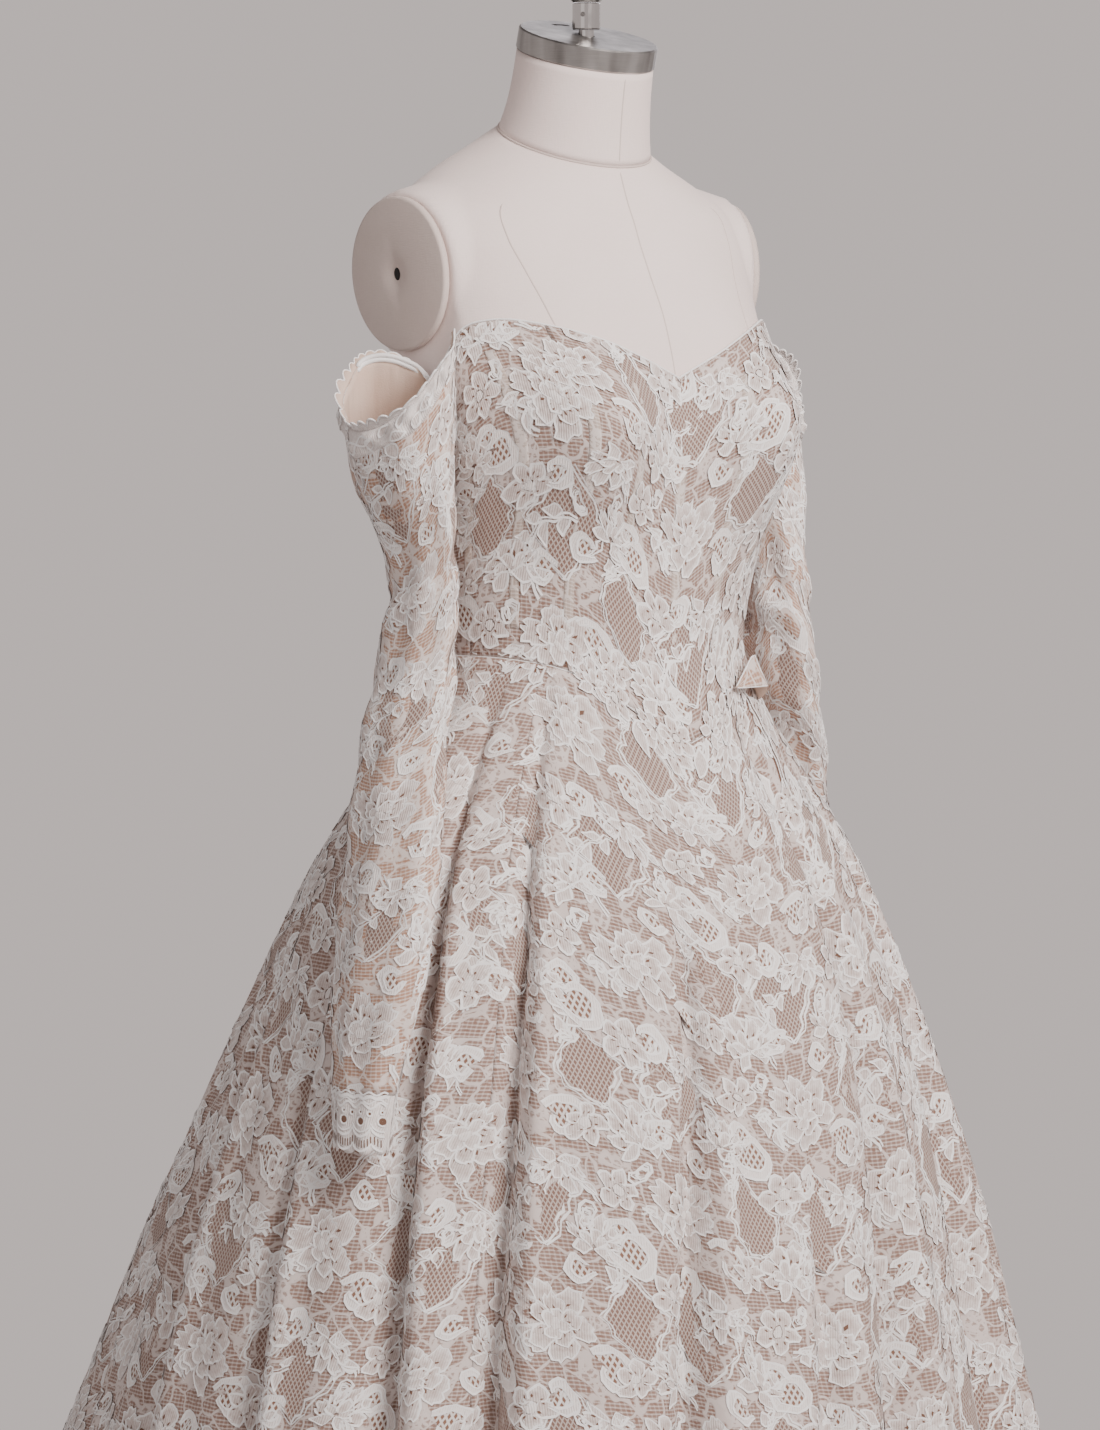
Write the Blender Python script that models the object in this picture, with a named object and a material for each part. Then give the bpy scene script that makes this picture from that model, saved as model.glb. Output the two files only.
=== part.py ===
# Off-shoulder wedding dress on a limbless dress form with a round stand.
# Metres, +Z up, the dress faces -Y, the wearer's right is at -X.
# The origin is the centre of the stand's flat underside, on the floor.

import math

import bpy
import numpy as np
from mathutils import Matrix, Vector

# Driving sizes
CLOTH = 0.002
SEAM_GAP = 0.0003
BODY_EASE = 0.0018
BONE_WIDTH = 0.007
BONE_THICK = 0.0008
BONE_GAP = 0.0006
BONE_ANGLES = (-80, -60, -40, -20, 0, 20, 40, 60, 80)
BONE_HALF_ANGLE = math.degrees(BONE_WIDTH / 2 / 0.135)
HEM_HEIGHT = 0.012
CUFF_TOP = 0.750
CUFF_HEIGHT = 0.045
CUFF_SCALLOPS = 10
EYELET_RADIUS = 0.0028
EYELET_DROP = 0.033
EDGE_HEIGHT = 0.012
EDGE_FLARE = 0.004
BUTTON_RADIUS = 0.0055
BUTTON_COUNT = 8
BODY_COLUMNS = 36
BODICE_ROWS = 11
SKIRT_STEP = 3.75
SKIRT_RIDGE = 0.007
SKIRT_SWELL = 0.026
PLEAT_DEPTH = 0.005
SLEEVE_SEAT = 0.0016
SLEEVE_SEAT_HEIGHTS = (1.244, 1.256)
SLEEVE_COLUMNS = 18
SLEEVE_ROWS = 12

BASE_RADIUS = 0.20
BASE_THICK = 0.018
POLE_RADIUS = 0.0125
CAP_FOOT = (0.0, 0.0015, 1.5228)
CAP_TILT = 15.5
CAP_RADIUS = 0.0545
CAP_HEIGHT = 0.0175
STUD_RADIUS = 0.006
COLLAR_FOOT = 1.5445
COLLAR_RADIUS = 0.0109
COLLAR_HEIGHT = 0.0205
KNOB_RADIUS = 0.0133
KNOB_HEIGHT = 0.018
PLATE_CENTRE = (0.161, 0.029, 1.355)
PLATE_ALONG = 0.054
PLATE_TALL = 0.0595
PLATE_THICK = 0.008
PLATE_SEAT = 0.0014
PLATE_TURN = 5.5
PLATE_LEAN = 7.0
PLATE_FACE_DOWN = 3.0

# The bust: where a cup's centre lies, how far it reaches on the dress and on the form, its spread
CUP = {
    "out": 0.092,
    "height": 1.240,
    "reach": 0.057,
    "form_reach": 0.051,
    "across": 0.043,
    "above": 0.040,
    "below": 0.055,
}


def table(names, *rows):
    """A table with named columns, one row for each section."""
    return {name: np.array([row[i] for row in rows], float) for i, name in enumerate(names)}


# Dress form sections, level at the hips and tilted forward at the neck
BODY = table(
    ("height", "middle", "tilt", "half", "front", "back"),
    (0.800, 0.000, 0, 0.1500, 0.1150, 0.1200),
    (0.860, 0.000, 0, 0.1640, 0.1280, 0.1300),
    (0.930, 0.000, 0, 0.1620, 0.1330, 0.1200),
    (1.000, 0.000, 0, 0.1440, 0.1280, 0.1000),
    (1.060, 0.000, 0, 0.1255, 0.1090, 0.0840),
    (1.120, 0.000, 0, 0.1290, 0.1080, 0.0900),
    (1.180, 0.000, 0, 0.1380, 0.1070, 0.1020),
    (1.240, 0.005, 0, 0.1490, 0.1110, 0.1100),
    (1.290, 0.012, 0, 0.1540, 0.1160, 0.1100),
    (1.330, 0.018, 3, 0.1570, 0.1140, 0.1080),
    (1.365, 0.022, 6, 0.1570, 0.1030, 0.1020),
    (1.395, 0.023, 10, 0.1520, 0.0920, 0.0940),
    (1.415, 0.022, 13, 0.1380, 0.0840, 0.0860),
    (1.430, 0.020, 16, 0.1120, 0.0760, 0.0780),
    (1.445, 0.018, 18, 0.0830, 0.0680, 0.0700),
    (1.458, 0.015, 20, 0.0605, 0.0605, 0.0605),
)

NECK = table(
    ("height", "middle", "tilt", "half"),
    (1.4583, 0.0149, 20.0, 0.0605),
    (1.4750, 0.0110, 18.8, 0.0572),
    (1.5000, 0.0060, 17.0, 0.0545),
    (1.5225, 0.0016, 15.5, 0.0536),
)

# Skirt sections: half width and reach to front and back of the pole
SKIRT = table(
    ("height", "half", "front", "back"),
    (0.000, 0.472, 0.412, 0.715),
    (0.250, 0.405, 0.360, 0.588),
    (0.455, 0.351, 0.313, 0.466),
    (0.630, 0.308, 0.275, 0.358),
    (0.780, 0.264, 0.238, 0.252),
    (0.850, 0.240, 0.214, 0.213),
    (0.900, 0.220, 0.191, 0.185),
    (0.950, 0.191, 0.162, 0.155),
    (1.000, 0.159, 0.1325, 0.119),
    (1.030, 0.1415, 0.1205, 0.1025),
    (1.065, 0.1288, 0.1120, 0.0873),
)

# Skirt folds: the angle of each trough at waist and hem, how far under the waist it starts,
# and its depth and half width at the hem
FOLDS = table(
    ("top", "low", "start", "depth", "width"),
    (-166, -164, 0.04, 0.050, 6.0),
    (-146, -143, 0.10, 0.044, 5.5),
    (-126, -122, 0.03, 0.052, 6.0),
    (-108, -102, 0.12, 0.040, 5.5),
    (-88, -83, 0.16, 0.044, 6.0),
    (-65, -61, 0.00, 0.034, 5.0),
    (-46, -48, 0.00, 0.046, 5.5),
    (-15, -23, 0.06, 0.044, 6.0),
    (6, -4, 0.22, 0.028, 5.0),
    (23, 8, 0.00, 0.036, 5.0),
    (44, 30, 0.03, 0.040, 5.5),
    (62, 50, 0.10, 0.034, 5.5),
    (80, 70, 0.02, 0.044, 6.0),
    (100, 92, 0.14, 0.036, 5.5),
    (119, 114, 0.04, 0.050, 6.0),
    (139, 135, 0.09, 0.044, 5.5),
    (158, 157, 0.03, 0.052, 6.0),
    (178, 178, 0.12, 0.042, 5.5),
)

# Edges of the bodice, by angle from the centre front
NECKLINE = table(
    ("angle", "height"),
    (0, 1.275),
    (12, 1.291),
    (25, 1.308),
    (38, 1.319),
    (55, 1.323),
    (66, 1.315),
    (78, 1.288),
    (90, 1.268),
    (105, 1.268),
    (118, 1.277),
    (130, 1.280),
    (150, 1.266),
    (180, 1.235),
)
WAIST = table(
    ("angle", "height"),
    (0, 0.998),
    (8, 1.006),
    (20, 1.027),
    (32, 1.046),
    (45, 1.057),
    (60, 1.062),
    (90, 1.064),
    (180, 1.064),
)

# Sleeve sections: out from the centre line, along Y, and half the oval's thickness and depth
SLEEVE_RIGHT = table(
    ("height", "out", "along", "thick", "deep"),
    (0.660, 0.297, -0.113, 0.0175, 0.0305),
    (0.700, 0.292, -0.110, 0.0175, 0.0305),
    (0.745, 0.281, -0.098, 0.0185, 0.0350),
    (0.830, 0.260, -0.088, 0.0250, 0.0500),
    (0.923, 0.230, -0.064, 0.0260, 0.0520),
    (0.993, 0.202, -0.036, 0.0260, 0.0470),
    (1.064, 0.174, -0.015, 0.0230, 0.0430),
    (1.130, 0.170, -0.018, 0.0210, 0.0360),
    (1.200, 0.190, -0.021, 0.0330, 0.0510),
    (1.250, 0.1940, -0.022, 0.0384, 0.0540),
    (1.320, 0.1940, -0.020, 0.0384, 0.0540),
)
SLEEVE_LEFT = table(
    ("height", "out", "along", "thick", "deep"),
    (0.660, 0.314, 0.080, 0.0175, 0.0305),
    (0.700, 0.304, 0.078, 0.0175, 0.0305),
    (0.745, 0.290, 0.070, 0.0185, 0.0350),
    (0.830, 0.262, 0.055, 0.0230, 0.0480),
    (0.923, 0.230, 0.033, 0.0240, 0.0480),
    (0.993, 0.203, 0.006, 0.0240, 0.0450),
    (1.064, 0.178, -0.014, 0.0230, 0.0430),
    (1.130, 0.172, -0.018, 0.0210, 0.0370),
    (1.200, 0.180, 0.006, 0.0270, 0.0470),
    (1.250, 0.1841, 0.024, 0.0319, 0.0500),
    (1.320, 0.1861, 0.028, 0.0319, 0.0500),
)
# Height of the sleeve's open mouth round the sleeve: 0 is its front, 90 its outer side
MOUTH = table(
    ("angle", "height"),
    (-90, 1.262),
    (-55, 1.310),
    (-30, 1.300),
    (0, 1.284),
    (45, 1.250),
    (90, 1.236),
    (120, 1.243),
    (150, 1.266),
    (180, 1.286),
    (215, 1.293),
    (240, 1.286),
    (270, 1.262),
)


def read(rows, name, key, at):
    """The column `name` at the key values `at`, on a smooth cubic curve through the rows."""
    keys, values = rows[key], rows[name]
    slopes = np.gradient(values, keys)
    at = np.clip(at, keys[0], keys[-1])
    i = np.clip(np.searchsorted(keys, at, side="right") - 1, 0, len(keys) - 2)
    span = keys[i + 1] - keys[i]
    t = (at - keys[i]) / span
    start = (1 + 2 * t) * (1 - t) ** 2 * values[i] + t * (1 - t) ** 2 * span * slopes[i]
    end = t * t * (3 - 2 * t) * values[i + 1] + t * t * (t - 1) * span * slopes[i + 1]
    return start + end


def ramp(value, low, high):
    t = np.clip((value - low) / (high - low), 0, 1)
    return t * t * (3 - 2 * t)


def stack(x, y, z):
    return np.stack(np.broadcast_arrays(x, y, z), axis=-1)


def plate_frame(side):
    """The centre and the forward, upward and outward directions of an arm plate."""
    turn, lean, down = (math.radians(a) for a in (PLATE_TURN, PLATE_LEAN, PLATE_FACE_DOWN))
    out = Vector((math.cos(down) * math.cos(turn), -math.cos(down) * math.sin(turn), -math.sin(down)))
    up = Vector((0, math.sin(lean), math.cos(lean)))
    up = (up - out * up.dot(out)).normalized()
    forward = up.cross(out)
    if forward.y > 0:
        forward = -forward
    centre = Vector(PLATE_CENTRE)
    return [np.array([side * v.x, v.y, v.z]) for v in (centre, forward, up, out)]


def body(angle, height, away=0.0, shoulders=True):
    """A point `away` outside the figure: an oval section and the cups, and on the form itself, with
    shoulders, a flat for each arm plate and cups that stay clear of the bodice's."""
    turn = np.radians(angle)
    height = np.broadcast_to(height, np.broadcast_shapes(np.shape(angle), np.shape(height)))
    front, back = (read(BODY, name, "height", height) for name in ("front", "back"))
    reach = np.where(np.cos(turn) > 0, front, back)
    x = (read(BODY, "half", "height", height) + away) * np.sin(turn)
    y = -(reach + away) * np.cos(turn)
    rise = np.where(height > CUP["height"], CUP["above"], CUP["below"])
    high = (height - CUP["height"]) / rise
    fullness = CUP["form_reach" if shoulders else "reach"] * (np.cos(turn) > 0)
    for side in (-1, 1):
        across = (x - side * CUP["out"]) / CUP["across"]
        y = y - fullness * np.exp(-(across**2 + high**2) / 2)
    tilt = np.radians(read(BODY, "tilt", "height", height))
    points = stack(x, read(BODY, "middle", "height", height) + y * np.cos(tilt), height + y * np.sin(tilt))
    if not shoulders:
        return points
    for side in (-1, 1):
        centre, forward, up, out = plate_frame(side)
        local = points - centre
        far = np.hypot(local @ forward / PLATE_ALONG, local @ up / PLATE_TALL)
        lift = -PLATE_THICK - PLATE_SEAT - local @ out
        near = 1 - ramp(far, 1.04, np.where(lift < 0, 1.6, 1.18))
        near = near * (points[..., 0] * side > 0.06)
        points = points + (near * lift)[..., None] * out
    return points


def new_material(name, colour, roughness, metallic=0.0):
    material = bpy.data.materials.new(name)
    material.use_nodes = True
    shader = material.node_tree.nodes["Principled BSDF"]
    shader.inputs["Base Color"].default_value = (*colour, 1)
    shader.inputs["Roughness"].default_value = roughness
    shader.inputs["Metallic"].default_value = metallic
    return material


def new_object(name, points, faces, material, sharp=50):
    mesh = bpy.data.meshes.new(name)
    mesh.from_pydata([tuple(p) for p in points], [], [tuple(f) for f in faces])
    mesh.validate()
    mesh.shade_smooth()
    mesh.set_sharp_from_angle(angle=math.radians(sharp))
    mesh.materials.append(material)
    made = bpy.data.objects.new(name, mesh)
    bpy.context.scene.collection.objects.link(made)
    return made


def face_out(made):
    """Turns a closed mesh the right way out, by the sign of its volume."""
    mesh = made.data
    mesh.calc_loop_triangles()
    points = np.array([v.co[:] for v in mesh.vertices])
    corners = points[np.array([t.vertices[:] for t in mesh.loop_triangles])]
    if np.einsum("ij,ij->i", corners[:, 0], np.cross(corners[:, 1], corners[:, 2])).sum() < 0:
        mesh.flip_normals()
    return made


def wall(name, outer, inner, material, ring=False):
    """A closed sheet of cloth between two grids of points. With ring, the last column meets the first."""
    rows, columns = outer.shape[:2]
    points = np.concatenate([outer.reshape(-1, 3), inner.reshape(-1, 3)])
    back = rows * columns
    faces = []

    def at(row, column):
        return row * columns + column % columns

    for r in range(rows - 1):
        for c in range(columns if ring else columns - 1):
            a, b, d, e = at(r, c), at(r, c + 1), at(r + 1, c + 1), at(r + 1, c)
            for face in ((a, b, d), (a, d, e)):
                faces.append(face)
                faces.append(tuple(i + back for i in reversed(face)))
    for r in (0, rows - 1):
        for c in range(columns if ring else columns - 1):
            rim = (at(r, c), at(r, c) + back, at(r, c + 1) + back, at(r, c + 1))
            faces.append(rim if r == 0 else rim[::-1])
    if not ring:
        for c in (0, columns - 1):
            for r in range(rows - 1):
                rim = (at(r, c), at(r + 1, c), at(r + 1, c) + back, at(r, c) + back)
                faces.append(rim if c == 0 else rim[::-1])
    return face_out(new_object(name, points, faces, material))


def loft(name, rings, material, sharp=50):
    """A solid through closed rings of points, capped at both ends."""
    count, columns = rings.shape[:2]
    faces = [tuple(range(columns))[::-1], tuple((count - 1) * columns + c for c in range(columns))]
    for r in range(count - 1):
        for c in range(columns):
            d = (c + 1) % columns
            faces.append((r * columns + c, r * columns + d, (r + 1) * columns + d, (r + 1) * columns + c))
    return face_out(new_object(name, rings.reshape(-1, 3), faces, material, sharp))


def turned(name, profile, material, columns=24, stretch=(1, 1), place=None):
    """A solid turned round Z from (radius, height) pairs, stretched to an oval and then placed."""
    turn = np.arange(columns) * 2 * np.pi / columns
    radius, height = np.array(profile).T[:, :, None]
    rings = stack(radius * np.cos(turn) * stretch[0], radius * np.sin(turn) * stretch[1], height)
    made = loft(name, rings, material, 35)
    if place is not None:
        made.matrix_world = place
    return made


def cut(made, cutter):
    """Subtracts a helper solid from an object."""
    cutter.hide_render = True
    cutter.display_type = "WIRE"
    boolean = made.modifiers.new("cut", "BOOLEAN")
    boolean.operation = "DIFFERENCE"
    boolean.solver = "EXACT"
    boolean.object = cutter


def build_form(linen, steel, chrome, black, paint):
    """The dress form, its neck cap and fittings, the arm plates and the stand."""
    turn = np.arange(BODY_COLUMNS) * 360 / BODY_COLUMNS
    heights = np.concatenate([np.linspace(0.80, 1.06, 5), np.linspace(1.09, 1.36, 10), (1.383, 1.402)])
    heights = np.concatenate([heights, (1.417, 1.430, 1.444, 1.458)])[:, None]
    loft("form_torso", body(turn, heights), linen)

    heights = np.linspace(NECK["height"][0], NECK["height"][-1], 5)[:, None]
    radius, tilt = (read(NECK, name, "height", heights) for name in ("half", "tilt"))
    tilt = np.radians(tilt)
    x, y = radius * np.sin(np.radians(turn)), -radius * np.cos(np.radians(turn))
    middle = read(NECK, "middle", "height", heights)
    loft("form_neck", stack(x, middle + y * np.cos(tilt), heights + y * np.sin(tilt)), linen)

    upright = Matrix.Translation(CAP_FOOT) @ Matrix.Rotation(math.radians(CAP_TILT), 4, "X")
    soft = 0.0012
    profile = ((CAP_RADIUS - soft, 0), (CAP_RADIUS, soft), (CAP_RADIUS, CAP_HEIGHT - soft))
    profile += ((CAP_RADIUS - soft, CAP_HEIGHT),)
    cap = turned("form_cap", profile, steel, 40, place=upright)
    slot_turn = np.radians(np.linspace(78, 102, 7))
    slot_mid, slot_half = 0.038, 0.0025
    there = (slot_mid + slot_half) * np.exp(1j * slot_turn)
    back_again = (slot_mid - slot_half) * np.exp(1j * slot_turn[::-1])
    edge = np.concatenate([there, back_again])
    floor_and_top = CAP_HEIGHT + np.array([[-0.004], [0.004]])
    slot = loft("slot_cutter", stack(edge.real, edge.imag, floor_and_top), steel)
    slot.matrix_world = upright
    cut(cap, slot)
    stud_foot = 1.5315
    wide = STUD_RADIUS + 0.0008
    hole = turned("stud_hole_cutter", ((wide, stud_foot), (wide, COLLAR_FOOT + 0.01)), steel, 20)
    cut(cap, hole)

    stud = ((STUD_RADIUS, stud_foot + SEAM_GAP), (STUD_RADIUS, COLLAR_FOOT - SEAM_GAP))
    turned("form_stud", stud, chrome, 16)
    top = COLLAR_FOOT + COLLAR_HEIGHT
    soft = 0.0008
    profile = ((COLLAR_RADIUS - soft, COLLAR_FOOT), (COLLAR_RADIUS, COLLAR_FOOT + soft))
    profile += ((COLLAR_RADIUS, top - soft), (COLLAR_RADIUS - soft, top))
    collar = turned("form_collar", profile, chrome, 24)
    bore = turned("collar_hole_cutter", ((0.002, 0), (0.002, 0.03)), chrome, 12)
    direction = Vector((-0.78, -0.62, 0)).normalized()
    aim = direction.to_track_quat("Z", "Y").to_matrix().to_4x4()
    bore.matrix_world = Matrix.Translation((0, 0, top - 0.009)) @ aim
    cut(collar, bore)
    foot = top + SEAM_GAP
    bend = np.radians(np.linspace(0, 90, 5))[:-1]
    rounded = 0.006
    profile = [(KNOB_RADIUS - 0.003, foot), (KNOB_RADIUS, foot + 0.003)]
    for b in bend:
        inset, rise = rounded * (1 - math.cos(b)), rounded * (1 - math.sin(b))
        profile.append((KNOB_RADIUS - inset, foot + KNOB_HEIGHT - rise))
    profile += [(KNOB_RADIUS - rounded, foot + KNOB_HEIGHT)]
    turned("form_knob", profile, chrome, 16)

    for side, word in ((-1, "right"), (1, "left")):
        centre, forward, up, out = plate_frame(side)
        place = Matrix.Identity(4)
        for i, direction in enumerate((forward, up, out)):
            place.col[i][:3] = tuple(direction)
        if place.to_3x3().determinant() < 0:
            place.col[0][:3] = tuple(-forward)
        place.col[3][:3] = tuple(centre - out * PLATE_THICK)
        dimple = ((0.975, 0), (1.0, 0.40), (0.965, 0.90), (0.78, 1.12), (0.40, 1.12), (0.10, 0.72))
        profile = [(r, h * PLATE_THICK) for r, h in dimple]
        turned(f"form_plate_{word}", profile, linen, 24, (PLATE_ALONG, PLATE_TALL), place)
        seat = 0.72 * PLATE_THICK + SEAM_GAP
        screw = [(0.0036, seat), (0.0036, seat + 0.0006), (0.0026, seat + 0.0013)]
        turned(f"form_screw_{word}", screw, black, 12, place=place)

    soft = 0.004
    profile = ((BASE_RADIUS, 0), (BASE_RADIUS, BASE_THICK - soft), (BASE_RADIUS - soft, BASE_THICK))
    turned("stand_base", profile, paint, 40)
    turned("stand_pole", ((POLE_RADIUS, BASE_THICK + SEAM_GAP), (POLE_RADIUS, 0.80 - SEAM_GAP)), steel, 16)


def bodice_points(angle, t, away):
    """A point of the bodice: t runs from the waist seam, 0, to the neckline, 1."""
    low = read(WAIST, "height", "angle", np.abs(angle))
    high = read(NECKLINE, "height", "angle", np.abs(angle))
    return body(angle, low + (high - low) * t, away, shoulders=False)


def panel_angles(low, high):
    """A panel's columns, with one at each edge of each boning casing that lies on it."""
    steps = range(low, high + 1, 360 // BODY_COLUMNS)
    inside = [a for a in steps if a in (low, high) or a not in BONE_ANGLES]
    edges = [a + shift for a in BONE_ANGLES for shift in (-BONE_HALF_ANGLE, BONE_HALF_ANGLE)]
    edges = [a for a in edges if low < a < high]
    return np.array(sorted(inside + edges))


def build_bodice(lace, casing, satin):
    """Seven bodice panels, nine boning casings on their seams, and the buttons at the centre back."""
    t = np.linspace(0, 1, BODICE_ROWS + 1)[:, None]
    seam = math.degrees(SEAM_GAP / 2 / 0.12)
    panels = (
        ("bodice_front", -40, 40),
        ("bodice_side_front_right", -80, -40),
        ("bodice_side_front_left", 40, 80),
        ("bodice_side_back_right", -130, -80),
        ("bodice_side_back_left", 80, 130),
        ("bodice_back_right", -180, -130),
        ("bodice_back_left", 130, 180),
    )
    for name, low, high in panels:
        angle = panel_angles(low, high)
        angle[0] += seam
        angle[-1] -= seam
        outer = bodice_points(angle, t, BODY_EASE + CLOTH)
        wall(name, outer, bodice_points(angle, t, BODY_EASE), lace)

    inside = BODY_EASE + CLOTH + BONE_GAP
    for centre in BONE_ANGLES:
        word = "centre" if centre == 0 else f"{'right' if centre < 0 else 'left'}_{abs(centre)}"
        angle = np.array([centre - BONE_HALF_ANGLE, centre + BONE_HALF_ANGLE])
        # the outermost casings end lower, under the sleeve's seam
        rows = t[1:-2] if abs(centre) == max(BONE_ANGLES) else t[1:-1]
        outer = bodice_points(angle, rows, inside + BONE_THICK)
        wall(f"bone_{word}", outer, bodice_points(angle, rows, inside), casing)

    foot = BODY_EASE + CLOTH + SEAM_GAP
    for number, t in enumerate(np.linspace(0.06, 0.97, BUTTON_COUNT)):
        spot = Vector(bodice_points(np.array(180.0), t, foot))
        above = Vector(bodice_points(np.array(180.0), t + 0.02, foot))
        out = (above - spot).cross(Vector((1, 0, 0))).normalized()
        if out.y < 0:
            out = -out
        place = Matrix.Translation(spot) @ out.to_track_quat("Z", "Y").to_matrix().to_4x4()
        r = BUTTON_RADIUS
        profile = [(r, 0.0002), (0.95 * r, 0.0020), (0.6 * r, 0.0036)]
        turned(f"button_{number + 1}", profile, satin, 10, place=place)


def skirt_points(angle, v, away):
    """A point of the skirt: v runs from the waist seam, 0, to the hem, 1. Folds are soft troughs."""
    top = read(WAIST, "height", "angle", np.abs(angle)) - SEAM_GAP
    height = top + (HEM_HEIGHT - top) * v
    turn = np.radians(angle)
    half, front, back = (read(SKIRT, name, "height", height) for name in ("half", "front", "back"))
    reach = np.where(np.cos(turn) > 0, front, back)
    drop = top - height
    inward = np.zeros_like(height)
    for top_angle, low, start, depth, width in zip(*FOLDS.values()):
        fall = ramp(drop, start, start + 0.95)
        centre = top_angle + (low - top_angle) * ramp(drop, 0.0, 0.75)
        away_from = (angle - centre + 180) % 360 - 180
        spread = width * (0.62 + 0.38 * ramp(drop, 0, 0.8))
        trough = np.exp(-((np.sqrt((away_from / spread) ** 2 + 0.08) - math.sqrt(0.08)) * 1.25))
        pleat = PLEAT_DEPTH * ramp(drop, 0.004, 0.03) if start == 0 else 0
        inward = inward + (depth * fall + pleat) * trough
    outline = np.hypot(half * np.sin(turn), reach * np.cos(turn))
    scale = 1 + (away + SKIRT_SWELL * ramp(drop, 0, 0.9) - inward) / outline
    return stack(half * np.sin(turn) * scale, -reach * np.cos(turn) * scale, height)


def build_skirt(lace):
    """Five skirt panels, with their pleats at the waist and long folds."""
    v = np.array([0, 0.015, 0.045, 0.09, 0.15, 0.23, 0.34, 0.48, 0.64, 0.81, 1.0])[:, None]
    seam = math.degrees(SEAM_GAP / 2 / 0.13)
    panels = (
        ("skirt_front", -50, 50),
        ("skirt_side_right", -110, -50),
        ("skirt_side_left", 50, 110),
        ("skirt_back_right", -180, -110),
        ("skirt_back_left", 110, 180),
    )
    for name, low, high in panels:
        angle = np.linspace(low, high, round((high - low) / SKIRT_STEP) + 1)
        if name == "skirt_front":
            # two more columns under the point of the bodice
            angle = np.sort(np.append(angle, (-BONE_HALF_ANGLE, BONE_HALF_ANGLE)))
        angle[0] += seam
        angle[-1] -= seam
        wall(name, skirt_points(angle, v, 0.0), skirt_points(angle, v, -CLOTH), lace)


def build_pleat_tip(lace):
    """The folded corner of the pocket pleat, standing on the bodice over the waist seam."""
    base = np.array([23.5, 28.2, 33.0, 37.8])
    rise = np.array([0.0005, 0.010, 0.019, 0.0235])
    inside = BODY_EASE + CLOTH + 2 * SEAM_GAP
    low = read(WAIST, "height", "angle", base) + 0.001
    t = np.array([0.0, 0.5, 1.0])[:, None]
    height = low + (rise + 0.0005) * t
    stand = np.array([0.0, 0.002, 0.004, 0.006])
    outer = body(base, height, inside + stand + CLOTH, shoulders=False)
    inner = body(base, height, inside + stand, shoulders=False)
    wall("pleat_tip_left", outer, inner, lace)


def clear_of(points, side, away):
    """Moves sleeve points out of the dress under them, so that the sleeve lies just clear of it."""
    x, y, z = points[..., 0] * side, points[..., 1], points[..., 2]
    up = z > 1.062
    under = [read(BODY, name, "height", z) for name in ("half", "front", "back")]
    below = [read(SKIRT, name, "height", z) + SKIRT_RIDGE for name in ("half", "front", "back")]
    half, front, back = (np.where(up, a, b) for a, b in zip(under, below))
    middle = np.where(up, read(BODY, "middle", "height", z), 0)
    reach = np.where(y < middle, front, back) + away
    far = np.hypot(x / (half + away), (y - middle) / reach)
    push = np.where(far < 1, 1 / np.maximum(far, 0.1), 1)
    return stack(side * x * push, middle + (y - middle) * push, z)


def sleeve_points(side, angle, height, inset, away):
    """A point of a sleeve: a flat oval tube whose front and back edges are sharper than its faces.
    Over the boning casings it passes clear of them, and above them it lies on the bodice."""
    away = away - SLEEVE_SEAT * ramp(height, *SLEEVE_SEAT_HEIGHTS)
    turn = np.radians(angle)
    rows = SLEEVE_RIGHT if side < 0 else SLEEVE_LEFT
    out = read(rows, "out", "height", height)
    along = read(rows, "along", "height", height)
    thick = read(rows, "thick", "height", height) - inset
    deep = read(rows, "deep", "height", height) - inset * 1.3
    face = np.sign(np.sin(turn)) * np.abs(np.sin(turn)) ** 1.15
    points = stack(side * (out + thick * face), along - deep * np.cos(turn), height)
    return clear_of(points, side, away)


def with_midpoints(ring):
    """The points of a closed ring with the middle of each side put in between."""
    middle = (ring + np.roll(ring, -1, axis=0)) / 2
    return np.stack([ring, middle], axis=1).reshape(-1, 3)


def mouth_height(angle):
    return read(MOUTH, "height", "angle", (angle + 90) % 360 - 90)


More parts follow.
